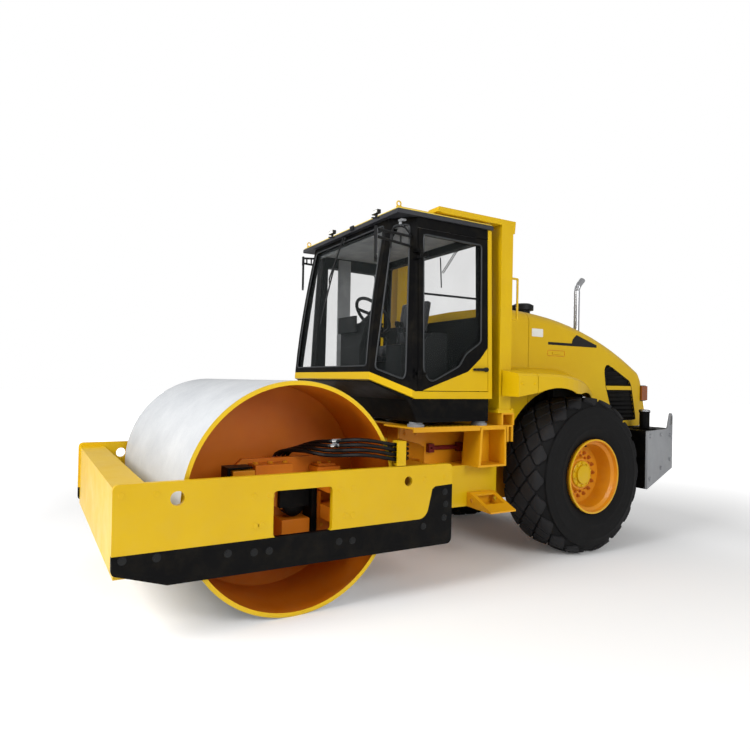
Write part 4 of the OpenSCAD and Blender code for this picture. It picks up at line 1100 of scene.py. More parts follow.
@dataclass
class RearWheel(Assembly):
    """One rear wheel: a tyre with rows of diamond lugs, and the nuts, hub cap and lip of its rim.

    Sections are given as (place across, radius) for the tyre and (radius, place across) for the rim.
    """

    side: int
    track_half: float = 0.8
    axle_y: float = 3.126
    radius: float = 0.745
    tread_depth: float = 0.023
    tread_half: float = 0.238
    row_pitch: float = 0.095
    sectors: int = 20
    crown: Rows = (
        (0.0, 0.745), (0.10, 0.7446), (0.165, 0.742), (0.195, 0.7305), (0.222, 0.7), (0.240, 0.664), (0.250, 0.622),
        (0.257, 0.57), (0.2578, 0.53))
    wall: Rows = (
        (0.2395, 0.655), (0.2485, 0.628), (0.2535, 0.60), (0.2590, 0.592), (0.2590, 0.580), (0.2575, 0.572),
        (0.2595, 0.55), (0.2560, 0.50), (0.2520, 0.465), (0.2545, 0.458), (0.2500, 0.448), (0.2330, 0.40),
        (0.2150, 0.365), (0.2050, 0.341))
    lug_half: Pair = (0.0845, 0.104)
    lug_quarter: Rows = ((0.87, 0.13), (0.70, 0.32), (0.50, 0.50), (0.32, 0.70), (0.12, 0.88))
    cap_section: Rows = (
        (0, 0.0955), (0.128, 0.0955), (0.128, 0.107), (0.122, 0.1121), (0.093, 0.1122), (0.088, 0.132),
        (0.04, 0.139), (0, 0.1395))
    lip_section: Rows = (
        (0.331, 0.229), (0.350, 0.231), (0.3525, 0.238), (0.3522, 0.247), (0.346, 0.2495), (0.336, 0.247))

    @property
    def body(self) -> Body:
        """The body that the wheel turns with."""
        return Body.WHEEL_L if self.side > 0 else Body.WHEEL_R

    @property
    def tag(self) -> str:
        """Its side as a word for names."""
        return "left" if self.side > 0 else "right"

    @property
    def centre(self) -> Vector:
        """The middle of the wheel."""
        return at(self.side * self.track_half, self.axle_y, self.radius)

    def crown_at(self, way: float) -> Pair:
        """Follows the crown's section from the tread's middle.

        Args:
            way: arc length, negative towards the machine's right.

        Returns:
            Place across and radius.
        """
        left = abs(way)
        for (x0, r0), (x1, r1) in zip(self.crown, self.crown[1:]):
            step = math.hypot(x1 - x0, r1 - r0)
            if left <= step:
                break
            left -= step
        t = min(left / step, 1.0)
        return math.copysign(x0 + (x1 - x0) * t, way), r0 + (r1 - r0) * t

    def crown_point(self, way: float, lift: float) -> Pair:
        """Moves a point of the crown along the tread's own normal.

        Args:
            way: arc length from the tread's middle.
            lift: distance outwards.

        Returns:
            Place across and radius.
        """
        (xa, ra), (xb, rb) = self.crown_at(way - 0.01), self.crown_at(way + 0.01)
        x, r = self.crown_at(way)
        size = math.hypot(xb - xa, rb - ra)
        return x - (rb - ra) / size * lift, r + (xb - xa) / size * lift

    def lug_outline(self) -> list[Pair]:
        """Outline of one lug, a diamond with its corners cut.

        Returns:
            Arc lengths across and round.
        """
        across, along = self.lug_half
        points = []
        for u, v in ((1, 1), (-1, 1), (-1, -1), (1, -1)):
            part = [(u * p * across, v * q * along) for p, q in self.lug_quarter]
            points += part if u * v > 0 else part[::-1]
        return points

    def sector(self) -> Shape:
        """One step of the tread: five staggered lugs that follow the crown.

        Returns:
            The lugs at the top of a wheel whose middle is the origin.
        """
        shape = Shape()
        pitch = 2 * math.pi / self.sectors
        levels = ((1.07, -self.tread_depth - 0.004), (1.0, -0.005), (0.955, 0.0), (0.6, 0.0), (0.22, 0.0))
        for row in range(-2, 3):
            stagger = pitch / 2 if row % 2 else 0.0
            rings = []
            for scale, lift in levels:
                ring = []
                for across, along in self.lug_outline():
                    x, r = self.crown_point(row * self.row_pitch + across * scale, lift)
                    a = stagger + along * scale / self.radius
                    ring.append((x, r * math.sin(a), r * math.cos(a)))
                rings.append(ring)
            shape.loft(rings)
        return shape

    def carcass(self) -> Shape:
        """The tyre's body under the lugs, with ribs on its walls.

        Returns:
            The carcass in its place.
        """
        tread = [self.crown_point(i * 0.02, -self.tread_depth) for i in range(-14, 15)]
        profile = [(r, -x) for x, r in reversed(self.wall)]
        profile += [(r, x) for x, r in tread if abs(x) < self.tread_half] + [(r, x) for x, r in self.wall]
        return Shape().lathe(profile, self.centre, (1, 0, 0), 120)

    def tyre(self) -> None:
        """Makes the carcass and repeats the lugs round it."""
        publish(self.carcass(), f"tyre_body_{self.tag}", self.body, Finish.GROOVE, stands_for=[f"tyre_{self.tag}"],
                angle=50)
        name = f"tyre_lugs_{self.tag}"
        spots = [Spot(tuple(self.centre), (0.0, -math.sin(a), math.cos(a))) for a in turns(self.sectors)]
        publish(self.repeater.build(name, self.sector(), spots, Finish.TYRE), name, self.body, Finish.TYRE,
                stands_for=[f"tyre_{self.tag}"], angle=28)

    def bolt_circle(self, count: int, depth: float, radius: float, size: float = 1.0,
                    phase: float = 0.0) -> list[Spot]:
        """Places on a circle round the wheel's axle, facing outwards.

        Args:
            count: number of places.
            depth: distance out from the wheel's middle.
            radius: of the circle.
            size: scale of what stands there.
            phase: shift as a share of one step.

        Returns:
            The places.
        """
        return [Spot(tuple(self.centre + Vector((self.side * depth, radius * math.cos(a), radius * math.sin(a)))),
                     (self.side, 0, 0), size, a) for a in turns(count, phase)]

    def rim(self) -> None:
        """Adds the hub cap, the bright lip, the nuts, the cap's screws and the valve."""
        way = (self.side, 0, 0)
        cap = Shape().lathe(self.cap_section, self.centre, way, 48)
        publish(cap, f"hub_cap_{self.tag}", self.body, Finish.YELLOW, angle=30)
        lip = Shape().lathe(self.lip_section, self.centre, way, 96)
        publish(lip, f"rim_lip_{self.tag}", self.body, Finish.YELLOW, angle=60)
        nuts = self.bolt_circle(16, 0.0645, 0.213) + self.bolt_circle(16, 0.0612, 0.176, 0.75, 0.5)
        self.repeat(f"wheel_nuts_{self.tag}", wheel_nut(), nuts, self.body, Finish.NUT, 0.0165)
        screws = self.bolt_circle(10, 0.112, 0.109, phase=0.5)
        self.repeat(f"hub_screws_{self.tag}", hex_bolt(), screws, self.body, Finish.YELLOW, 0.013)
        foot = self.centre + Vector((self.side * 0.066, 0.0, 0.262))
        tip = foot + Vector((self.side * 0.07, 0.0, 0.012))
        valve = Shape().rod(foot, tip, 0.006, 12).rod(tip, tip + Vector((self.side * 0.014, 0, 0.002)), 0.0085, 12)
        publish(valve, f"valve_{self.tag}", self.body, Finish.HOSE)

    def build(self) -> None:
        """Builds the tyre and dresses the rim."""
        self.tyre()
        self.rim()


# Cab


@dataclass
class CabFaces:
    """Places on the cab's leaning and bowed faces."""

    sill_z: float = 1.47
    top_z: float = 2.955
    front_y: float = 0.79
    front_half: float = 0.70
    half: float = 0.87
    shoulder_y: float = 1.10
    rear_y: float = 1.97
    back: float = 0.2
    bow: float = 1.6
    inset: float = 0.04

    def rise(self, z: float) -> float:
        """How far up the walls z lies, from 0 to 1."""
        return min(1.0, max(0.0, (z - self.sill_z) / (self.top_z - self.sill_z)))

    def side(self, y: float, z: float, s: int = 1, out: float = 0.0) -> Vector:
        """A point on the side wall."""
        return at(s * (self.half - self.inset * self.rise(z) + out), y, z)

    def screen(self, x: float, z: float, out: float = 0.0) -> Vector:
        """A point on the windshield."""
        return at(x, self.front_y + self.back * self.rise(z) ** self.bow - out, z)

    def rear(self, x: float, z: float, out: float = 0.0) -> Vector:
        """A point on the rear wall."""
        return at(x, self.rear_y + out, z)

    def corner(self, t: float, z: float, s: int = 1, out: float = 0.0) -> Vector:
        """A point on the slanted corner between the windshield and a side wall.

        Args:
            t: metres from the corner's front edge at the sill.
            z: height.
            s: the side, as the sign of X.
            out: distance outwards from the face.

        Returns:
            The point.
        """
        k = self.rise(z)
        lean, bow = self.inset * k, self.back * k ** self.bow
        a = Vector((self.front_half - lean, self.front_y + bow))
        b = Vector((self.half - lean, self.shoulder_y + bow / 4))
        start = Vector((self.front_half, self.front_y))
        way = (Vector((self.half, self.shoulder_y)) - start).normalized()
        p = a + (b - a) * ((t - (a - start).dot(way)) / (b - a).dot(way))
        p += Vector((b.y - a.y, a.x - b.x)).normalized() * out
        return at(s * p.x, p.y, z)


@dataclass
class Cab(Assembly):
    """Window seals, wipers, rails, roof fittings and lining of the cab."""

    faces: CabFaces = field(default_factory=CabFaces)
    seal_r: float = 0.0065
    seal_out: float = 0.001
    window_r: float = 0.035
    side_window: Rows = (
        (1.215, 1.70), (1.265, 1.625), (1.315, 1.615), (1.595, 1.745), (1.665, 1.85), (1.84, 1.96), (1.85, 2.81),
        (1.215, 2.82))
    corner_window: Rows = ((0.05, 1.71), (0.2786, 1.625), (0.2986, 1.67), (0.3186, 2.895), (0.19, 2.895))
    screen_window: Rows = ((-0.645, 1.73), (0.645, 1.73), (0.605, 2.91), (-0.605, 2.91))
    rear_window: Rows = ((-0.70, 2.20), (0.70, 2.20), (0.68, 2.865), (-0.68, 2.865))
    handle_route: Rows = (
        (0.17, 2.70, 0.004), (0.175, 2.80, 0.03), (0.20, 2.865, 0.035), (0.27, 2.868, 0.035), (0.315, 2.82, 0.03),
        (0.325, 2.77, 0.004))

    def seal(self, shape: Shape, corners: Rows, place: Callable[[float, float], Vector]) -> None:
        """Lays a seal round a window, over its curved face.

        Args:
            shape: takes the seal.
            corners: of the window, on its face.
            place: turns a place on the face into a point.
        """
        flat = round_corners([Vector((u, v, 0)) for u, v in corners], self.window_r)
        route = []
        for p, q in zip(flat, flat[1:] + flat[:1]):
            steps = max(1, round((q - p).length / 0.12))
            route += [place(r.x, r.y) for r in (p.lerp(q, k / steps) for k in range(steps))]
        shape.tube(route, self.seal_r, 8, True)

    def seals(self) -> None:
        """Lays a rubber seal round every window, its black rubber coloured grey as painted highlight of the rounded
        edges.
        """
        f, out = self.faces, self.seal_out
        door, fixed = Shape(), Shape()
        self.seal(door, self.side_window, lambda y, z: f.side(y, z, 1, out))
        publish(door, "door_window_seal", Body.DOOR, Finish.SEAL_HIGHLIGHT, angle=60)
        self.seal(fixed, self.side_window, lambda y, z: f.side(y, z, -1, out))
        for s in BOTH:
            self.seal(fixed, self.corner_window, lambda t, z, s=s: f.corner(t, z, s, out))
        self.seal(fixed, self.screen_window, lambda x, z: f.screen(x, z, out))
        self.seal(fixed, self.rear_window, lambda x, z: f.rear(x, z, out))
        publish(fixed, "window_seals", Body.REAR, Finish.SEAL_HIGHLIGHT, angle=60)

    def door_fittings(self) -> None:
        """Adds the door's outer handle, its inner rail and the hinge bolts."""
        f = self.faces
        grip, lock = f.side(1.752, 1.722, 1, 0.022), f.side(1.893, 1.724, 1, -0.002)
        handle = Shape().rod(grip, f.side(1.900, 1.724, 1, 0.020), 0.010, 12, 0.015)
        handle.rod(f.side(1.765, 1.722, 1, -0.002), grip, 0.011, 12)
        handle.lathe([(0, 0), (0.020, 0), (0.020, 0.022), (0.016, 0.028), (0, 0.028)], lock, (1, 0, 0), 24)
        publish(handle, "door_handle", Body.DOOR, Finish.PLASTIC, bevel=0.002)
        rail = Shape().rod(at(0.812, 1.205, 2.338), at(0.812, 1.862, 2.342), 0.009, 12)
        publish(rail, "door_inner_rail", Body.DOOR, Finish.PLASTIC)
        spots = [Spot(tuple(f.side(y, z)), (1, 0, 0)) for y in (1.185, 1.205) for z in (1.665, 2.635)]
        self.repeat("door_hinge_bolts", hex_bolt(), spots, Body.DOOR, Finish.BLACK, 0.005)

    def wiper_parts(self) -> None:
        """Adds the rear wiper with its drive, and the cap of the front wiper."""
        parts = Shape()
        for a, b, radius in (((0.126, 1.988, 2.850), (0.149, 1.988, 2.548), 0.006),
                             ((0.145, 1.996, 2.70), (0.345, 1.999, 2.888), 0.004),
                             ((0.166, 1.996, 2.69), (0.358, 1.999, 2.872), 0.004)):
            parts.rod(at(*a), at(*b), radius, 8)
        parts.lathe([(0, 0), (0.024, 0), (0.024, 0.03), (0.016, 0.038), (0, 0.038)], at(0.351, 1.969, 2.884),
                    (0, 1, 0), 20)
        parts.lathe([(0, 0), (0.022, 0), (0.022, 0.026), (0.015, 0.034), (0, 0.034)],
                    self.faces.screen(-0.02, 2.93), (0, -1, 0), 20)
        publish(parts, "wiper_parts", Body.REAR, Finish.PLASTIC)

    def roof_fittings(self) -> None:
        """Adds two small lamps and a bracket on the roof's front edge, and the lifting eyes."""
        black, lens, eyes = Shape(), Shape(), Shape()
        for x in (-0.23, 0.53):
            black.box((x - 0.045, 0.930, 3.018), (x + 0.045, 0.965, 3.052))
            black.box((x - 0.012, 0.941, 2.985), (x + 0.012, 0.956, 3.020))
            black.rod(at(x - 0.05, 0.936, 3.0), at(x + 0.06, 0.936, 2.975), 0.007, 8)
            lens.box((x - 0.038, 0.9262, 3.023), (x + 0.038, 0.9296, 3.047))
        black.box((0.13, 0.925, 2.966), (0.19, 0.9395, 3.004))
        eye_x, eye_y, eye_z, eye_r = 0.80, 0.985, 3.042, 0.02
        for s in BOTH:
            eyes.tube([at(s * eye_x, eye_y + eye_r * math.cos(a), eye_z + eye_r * math.sin(a)) for a in turns(20)],
                      0.0055, 8, True)
            eyes.box((s * eye_x - 0.012, eye_y - 0.02, 3.014), (s * eye_x + 0.012, eye_y + 0.02, 3.024))
        publish(black, "roof_lamp_bodies", Body.REAR, Finish.PLASTIC, bevel=0.003)
        publish(lens, "roof_lamp_glasses", Body.REAR, Finish.PLATE, bevel=0.001)
        publish(eyes, "roof_eyes", Body.REAR, Finish.YELLOW)

    def lining(self) -> None:
        """Adds the headliner, the right pillar's cover and the sun blind's roller."""
        liner = Shape().box((-0.765, 1.04, 2.925), (0.765, 1.90, 2.945))
        liner.box((-0.80, 1.34, 1.60), (-0.785, 1.50, 2.924))
        liner.box((-0.74, 1.045, 2.88), (0.74, 1.085, 2.9245))
        publish(liner, "cab_lining", Body.REAR, Finish.LINER, bevel=0.006)
        roller = Shape().rod(at(-0.58, 1.02, 2.90), at(0.58, 1.02, 2.90), 0.016, 16)
        publish(roller, "sun_blind", Body.REAR, Finish.PLASTIC)

    def mirror_faces(self) -> None:
        """Adds silvered faces behind the mirror plates and the arched handle over the left arm."""
        faces = Shape()
        for (x, y, z), turn, tall in (((0.98, 0.65, 2.635), 146.0, 0.23), ((-1.048, 1.04, 2.78), 154.0, 0.34)):
            a = math.radians(turn)
            along, normal = Vector((math.cos(a), math.sin(a), 0)), Vector((-math.sin(a), math.cos(a), 0))
            normal = normal if normal.y > 0 else -normal
            w, h = along * 0.078, Vector((0, 0, tall / 2 - 0.012))
            base = at(x, y, z) + normal * 0.0112
            outline = round_corners([base - w - h, base + w - h, base + w + h, base - w + h], 0.02)
            faces.prism(outline, normal * 0.0015)
        publish(faces, "mirror_glasses", Body.REAR, Finish.CHROME)
        arch = smooth_route([self.faces.corner(t, z, 1, out) for t, z, out in self.handle_route], 5)
        publish(Shape().tube(arch, 0.007, 10), "corner_handle", Body.REAR, Finish.PLASTIC)

    def inside(self) -> None:
        """Adds the round inner mirror, the levers, a screen on the console and the armrests."""
        black, knobs = Shape(), Shape()
        black.lathe([(0, 0), (0.05, 0.004), (0.052, 0.014), (0.03, 0.034), (0, 0.04)], at(0.735, 1.24, 2.595),
                    (0.5, -0.85, 0), 24)
        black.rod(at(0.735, 1.235, 2.60), at(0.79, 1.165, 2.66), 0.006, 8)
        for x, y, lean in ((0.40, 1.30, 0.03), (0.47, 1.34, -0.02)):
            black.rod(at(x, y, 1.935), at(x + lean, y - 0.04, 2.09), 0.009, 10)
            knobs.lathe([(0, 0), (0.016, 0.006), (0.022, 0.03), (0.018, 0.055), (0, 0.062)],
                        at(x + lean, y - 0.04, 2.085), (lean, -0.04, 0.15), 20)
        black.box((-0.15, 0.985, 2.05), (0.15, 1.012, 2.20))
        for s in BOTH:
            black.box((s * 0.30 - 0.035, 1.36, 2.06), (s * 0.30 + 0.035, 1.66, 2.10))
            black.rod(at(s * 0.30, 1.62, 2.07), at(s * 0.245, 1.66, 1.90), 0.016, 12)
        publish(black, "cab_controls", Body.REAR, Finish.PLASTIC, bevel=0.003)
        publish(knobs, "lever_knobs", Body.REAR, Finish.HOSE)

    def build(self) -> None:
        """Adds every piece of the cab."""
        self.seals()
        self.door_fittings()
        self.wiper_parts()
        self.roof_fittings()
        self.lining()
        self.mirror_faces()
        self.inside()


@dataclass
class Seat:
    """Padded seat and backrest, blown up by a short cloth simulation and then given their sewn channels."""

    voxel: float = 0.009
    cap: float = 0.016
    pressure: float = 4.0
    frames: int = 20
    fill: float = 0.8
    channels: tuple[float, ...] = (-0.55, 0.0, 0.55)
    stitch_depth: float = 0.008
    seam_share: float = 0.012

    def pad(self, name: str, half: Point, middle: Point, lean: float) -> None:
        """Makes one cushion.

        Args:
            name: of the piece.
            half: half its size along X, Y and Z before it swells.
            middle: its centre, from the drum axle.
            lean: turn about X in degrees.
        """
        bm = bmesh.new()
        bmesh.ops.create_cube(bm, size=2.0)
        bmesh.ops.subdivide_edges(bm, edges=bm.edges[:], cuts=5, use_grid_fill=True)
        for v in bm.verts:
            x, y, z = v.co
            edge = max(0.0, abs(x) - 0.8) + max(0.0, abs(y) - 0.8) + max(0.0, abs(z) - 0.6)
            v.co = Vector((x * half[0] * (1 - 0.10 * edge), y * half[1] * (1 - 0.10 * edge),
                           z * half[2] * (1 - 0.16 * edge)))
        data = bpy.data.meshes.new(name)
        bm.to_mesh(data)
        bm.free()
        obj = bpy.data.objects.new(name, data)
        bpy.context.scene.collection.objects.link(obj)
        data = self.swell(obj)
        self.sew(data, half)
        data.transform(Matrix.Translation(at(*middle)) @ Matrix.Rotation(math.radians(lean), 4, "X"))
        bpy.data.objects.remove(obj)
        piece = publish(data, name, Body.REAR, Finish.CLOTH, stands_for=["seat_cushions"], angle=70)

    def swell(self, obj: bpy.types.Object) -> bpy.types.Mesh:
        """Remeshes a pad and blows it up as cloth, with no point moved past the cap.

        Args:
            obj: the pad before it swells.

        Returns:
            The swollen mesh.
        """
        grid = obj.modifiers.new("grid", "REMESH")
        grid.mode, grid.voxel_size = "VOXEL", self.voxel
        graph = bpy.context.evaluated_depsgraph_get()
        data = bpy.data.meshes.new_from_object(obj.evaluated_get(graph))
        obj.modifiers.clear()
        obj.data = data
        start = [v.co.copy() for v in data.vertices]
        cloth = obj.modifiers.new("cloth", "CLOTH")
        cloth.settings.use_pressure = True
        cloth.settings.uniform_pressure_force = self.pressure
        cloth.settings.effector_weights.gravity = 0.0
        cloth.point_cache.frame_start, cloth.point_cache.frame_end = 1, self.frames
        scene = bpy.context.scene
        for step in range(1, self.frames + 1):
            scene.frame_set(step)
        graph = bpy.context.evaluated_depsgraph_get()
        blown = bpy.data.meshes.new_from_object(obj.evaluated_get(graph))
        scene.frame_set(1)
        for v, home in zip(blown.vertices, start):
            move = v.co - home
            if move.length > self.cap:
                v.co = home + move.normalized() * self.cap
        obj.modifiers.clear()
        return blown

    def sew(self, data: bpy.types.Mesh, half: Point) -> None:
        """Draws the surface in along each sewn channel and round the edge seam.

        Args:
            data: the cushion before it is placed.
            half: half its size along X, Y and Z before it swelled.
        """
        for v in data.vertices:
            x, y, z = v.co
            pull = 0.0
            if abs(y) < half[1] * 0.86:
                pull = sum(math.exp(-((x - c * half[0]) / 0.007) ** 2) for c in self.channels)
            seam = math.exp(-((z - half[2] * 0.45) / 0.006) ** 2)
            if abs(z) > half[2] * 0.7:
                v.co.z -= math.copysign(self.stitch_depth * min(pull, 1.0), z)
            v.co.x *= 1 - self.seam_share * seam
            v.co.y *= 1 - self.seam_share * seam

    def build(self) -> None:
        """Makes the seat cushion and the backrest."""
        self.pad("seat_base_cushion", (0.222, 0.205, 0.040), (0.0, 1.435, 1.886), 0.0)
        self.pad("seat_back_cushion", (0.212, 0.262, 0.040), (0.0, 1.757, 2.158), 80.0)


# Engine hood and rear


@dataclass
class Hood(Assembly):
    """Blank plates, latches, louvre bars, bezels and bolts of the engine hood. Outlines are rows of (y, z)."""

    side_x: float = 0.66
    sink: float = 0.0005
    latch: Rows = ((2.915, 1.893), (3.165, 1.893), (3.165, 1.948), (2.915, 1.948))
    louvre: Rows = (
        (3.965, 1.230), (4.340, 1.240), (4.255, 1.600), (4.220, 1.660), (3.897, 1.812), (3.795, 1.770),
        (3.820, 1.600))
    lamp: Rows = ((4.428, 1.448), (4.532, 1.448), (4.532, 1.612), (4.428, 1.612))
    lamp_x: float = 0.6522
    wall_in: float = 0.640
    seam_y: float = 2.645
    seam_x: float = 0.6555
    fender_x: float = 1.0505

    def plate(self, low: Pair, high: Pair, thick: float, radius: float = 0.008) -> Shape:
        """A thin plate with round corners on both side walls.

        Args:
            low: y and z of its low front corner.
            high: y and z of its high rear corner.
            thick: its thickness.
            radius: of its corners.

        Returns:
            Both plates in one shape.
        """
        shape = Shape()
        (y0, z0), (y1, z1) = low, high
        for s in BOTH:
            x = s * (self.side_x - self.sink)
            corners = [at(x, y0, z0), at(x, y1, z0), at(x, y1, z1), at(x, y0, z1)]
            shape.prism(round_corners(corners, radius), (s * thick, 0, 0))
        return shape

    def ring(self, x: float, outline: Rows, corner: float, radius: float) -> Shape:
        """A thin bead round an outline on both side walls.

        Args:
            x: distance of its middle line from the machine's middle.
            outline: rows of (y, z).
            corner: radius of the outline's corners.
            radius: of the bead.

        Returns:
            Both beads in one shape.
        """
        shape = Shape()
        for s in BOTH:
            shape.tube(round_corners([at(s * x, y, z) for y, z in outline], corner), radius, 6, True)
        return shape

    def build(self) -> None:
        """Adds every piece of the hood."""
        x = self.side_x
        publish(self.plate((2.690, 2.072), (2.845, 2.150), 0.0018), "blank_plates", Body.HOOD, Finish.PLATE)
        publish(self.ring(x, self.latch, 0.022, 0.0032), "latch_rings", Body.HOOD, Finish.ORANGE, angle=60)
        publish(self.plate((2.985, 1.908), (3.095, 1.932), 0.006), "latch_grips", Body.HOOD, Finish.YELLOW,
                bevel=0.0015)
        bars, seams = Shape(), Shape()
        for s in BOTH:
            bars.box((s * self.wall_in, 3.822, 1.562), (s * (x + 0.001), 4.262, 1.606))
            seams.box((s * self.wall_in, self.seam_y - 0.001, 1.30), (s * self.seam_x, self.seam_y + 0.001, 2.19))
        publish(bars, "louvre_bars", Body.HOOD, Finish.YELLOW, bevel=0.003)
        publish(self.ring(x - 0.002, self.louvre, 0.03, 0.005), "louvre_trims", Body.HOOD, Finish.HOSE, angle=60)
        publish(self.ring(self.lamp_x, self.lamp, 0.008, 0.005), "tail_lamp_bezels", Body.HOOD, Finish.HOSE,
                angle=60)
        publish(seams, "hood_seam_seal", Body.REAR, Finish.HOSE)
        spots = [Spot(tuple(at(s * self.fender_x, y, 1.61)), (s, 0, 0)) for s in BOTH for y in (2.14, 2.30)]
        self.repeat("cowl_bolts", hex_bolt(), spots, Body.REAR, Finish.YELLOW, 0.012)


@dataclass
class RearFrame(Assembly):
    """Bolts, tread studs and filler cap of the rear frame."""

    deck_z: float = 1.235
    post_foot: float = 0.135
    neck_x: float = 0.4627
    weight_foot: Pair = (1.02, 3.95)
    weight_slope: Pair = (0.15, 0.69)
    weight_out: float = 0.0203
    weight_holes: Rows = ((0.06, 1.10), (0.06, 0.66), (0.35, 1.10), (0.36, 0.75), (0.62, 1.08), (0.62, 0.82))
    tread_x: float = 0.942
    tread_z: float = 0.5118

    def bolts(self) -> None:
        """Sets the bolts of the roll-over posts, the neck and the end plates."""
        yellow, orange, grey = [], [], []
        turn = math.atan2(*self.weight_slope)
        for s in BOTH:
            yellow += [Spot(tuple(at(s * x, y, self.deck_z + self.post_foot)), UP, spin=x)
                       for x in (0.70, 0.852) for y in (2.066, 2.232)]
            for places, heights in (((1.34, 1.46), (1.14, 1.18)), ((1.62, 1.74, 1.80), (0.68, 0.80))):
                orange += [Spot(tuple(at(s * self.neck_x, y, z)), (s, 0, 0), spin=z)
                           for y in places for z in heights]
            out_x, out_y = math.cos(turn), math.sin(turn)
            for along, z in self.weight_holes:
                place = at(s * (self.weight_foot[0] - along * out_y + self.weight_out * out_x),
                           self.weight_foot[1] + along * out_x + self.weight_out * out_y, z)
                grey.append(Spot(tuple(place), (s * out_x, out_y, 0), spin=z))
        self.repeat("frame_bolts", hex_bolt(), yellow, Body.REAR, Finish.YELLOW, 0.016)
        self.repeat("neck_bolts", hex_bolt(), orange, Body.REAR, Finish.ORANGE, 0.014)
        self.repeat("weight_bolts", hex_bolt(), grey, Body.REAR, Finish.GREY, 0.020)

    def tread_studs(self) -> None:
        """Sets raised studs on the lower treads and the deck's edges."""
        stud = Shape().lathe([(0, 0), (1, 0), (0.75, 0.5), (0, 0.5)], (0, 0, 0), sides=8)
        spots = []
        for s in BOTH:
            spots += [Spot(tuple(at(s * self.tread_x, 1.895 + i * 0.032, self.tread_z)), (s * 0.05, 0, 1))
                      for i in range(9)]
            spots += [Spot(tuple(at(s * x, 1.32 + i * 0.045 + shift, self.deck_z)), UP)
                      for i in range(14) for x, shift in ((0.790, 0.0), (0.822, 0.022))]
        self.repeat("tread_studs", stud, spots, Body.REAR, Finish.YELLOW, 0.007)

    def filler(self) -> None:
        """Adds the bright cap on the filler neck."""
        cap = Shape().lathe([(0, 0), (0.0545, 0), (0.0545, 0.012), (0.045, 0.020), (0.012, 0.022), (0, 0.022)],
                            at(0.85, 4.20, 1.3401), UP, 32)
        publish(cap, "filler_cap", Body.REAR, Finish.STEEL)

    def build(self) -> None:
        """Adds every piece of the rear frame."""
        self.bolts()
        self.tread_studs()
        self.filler()


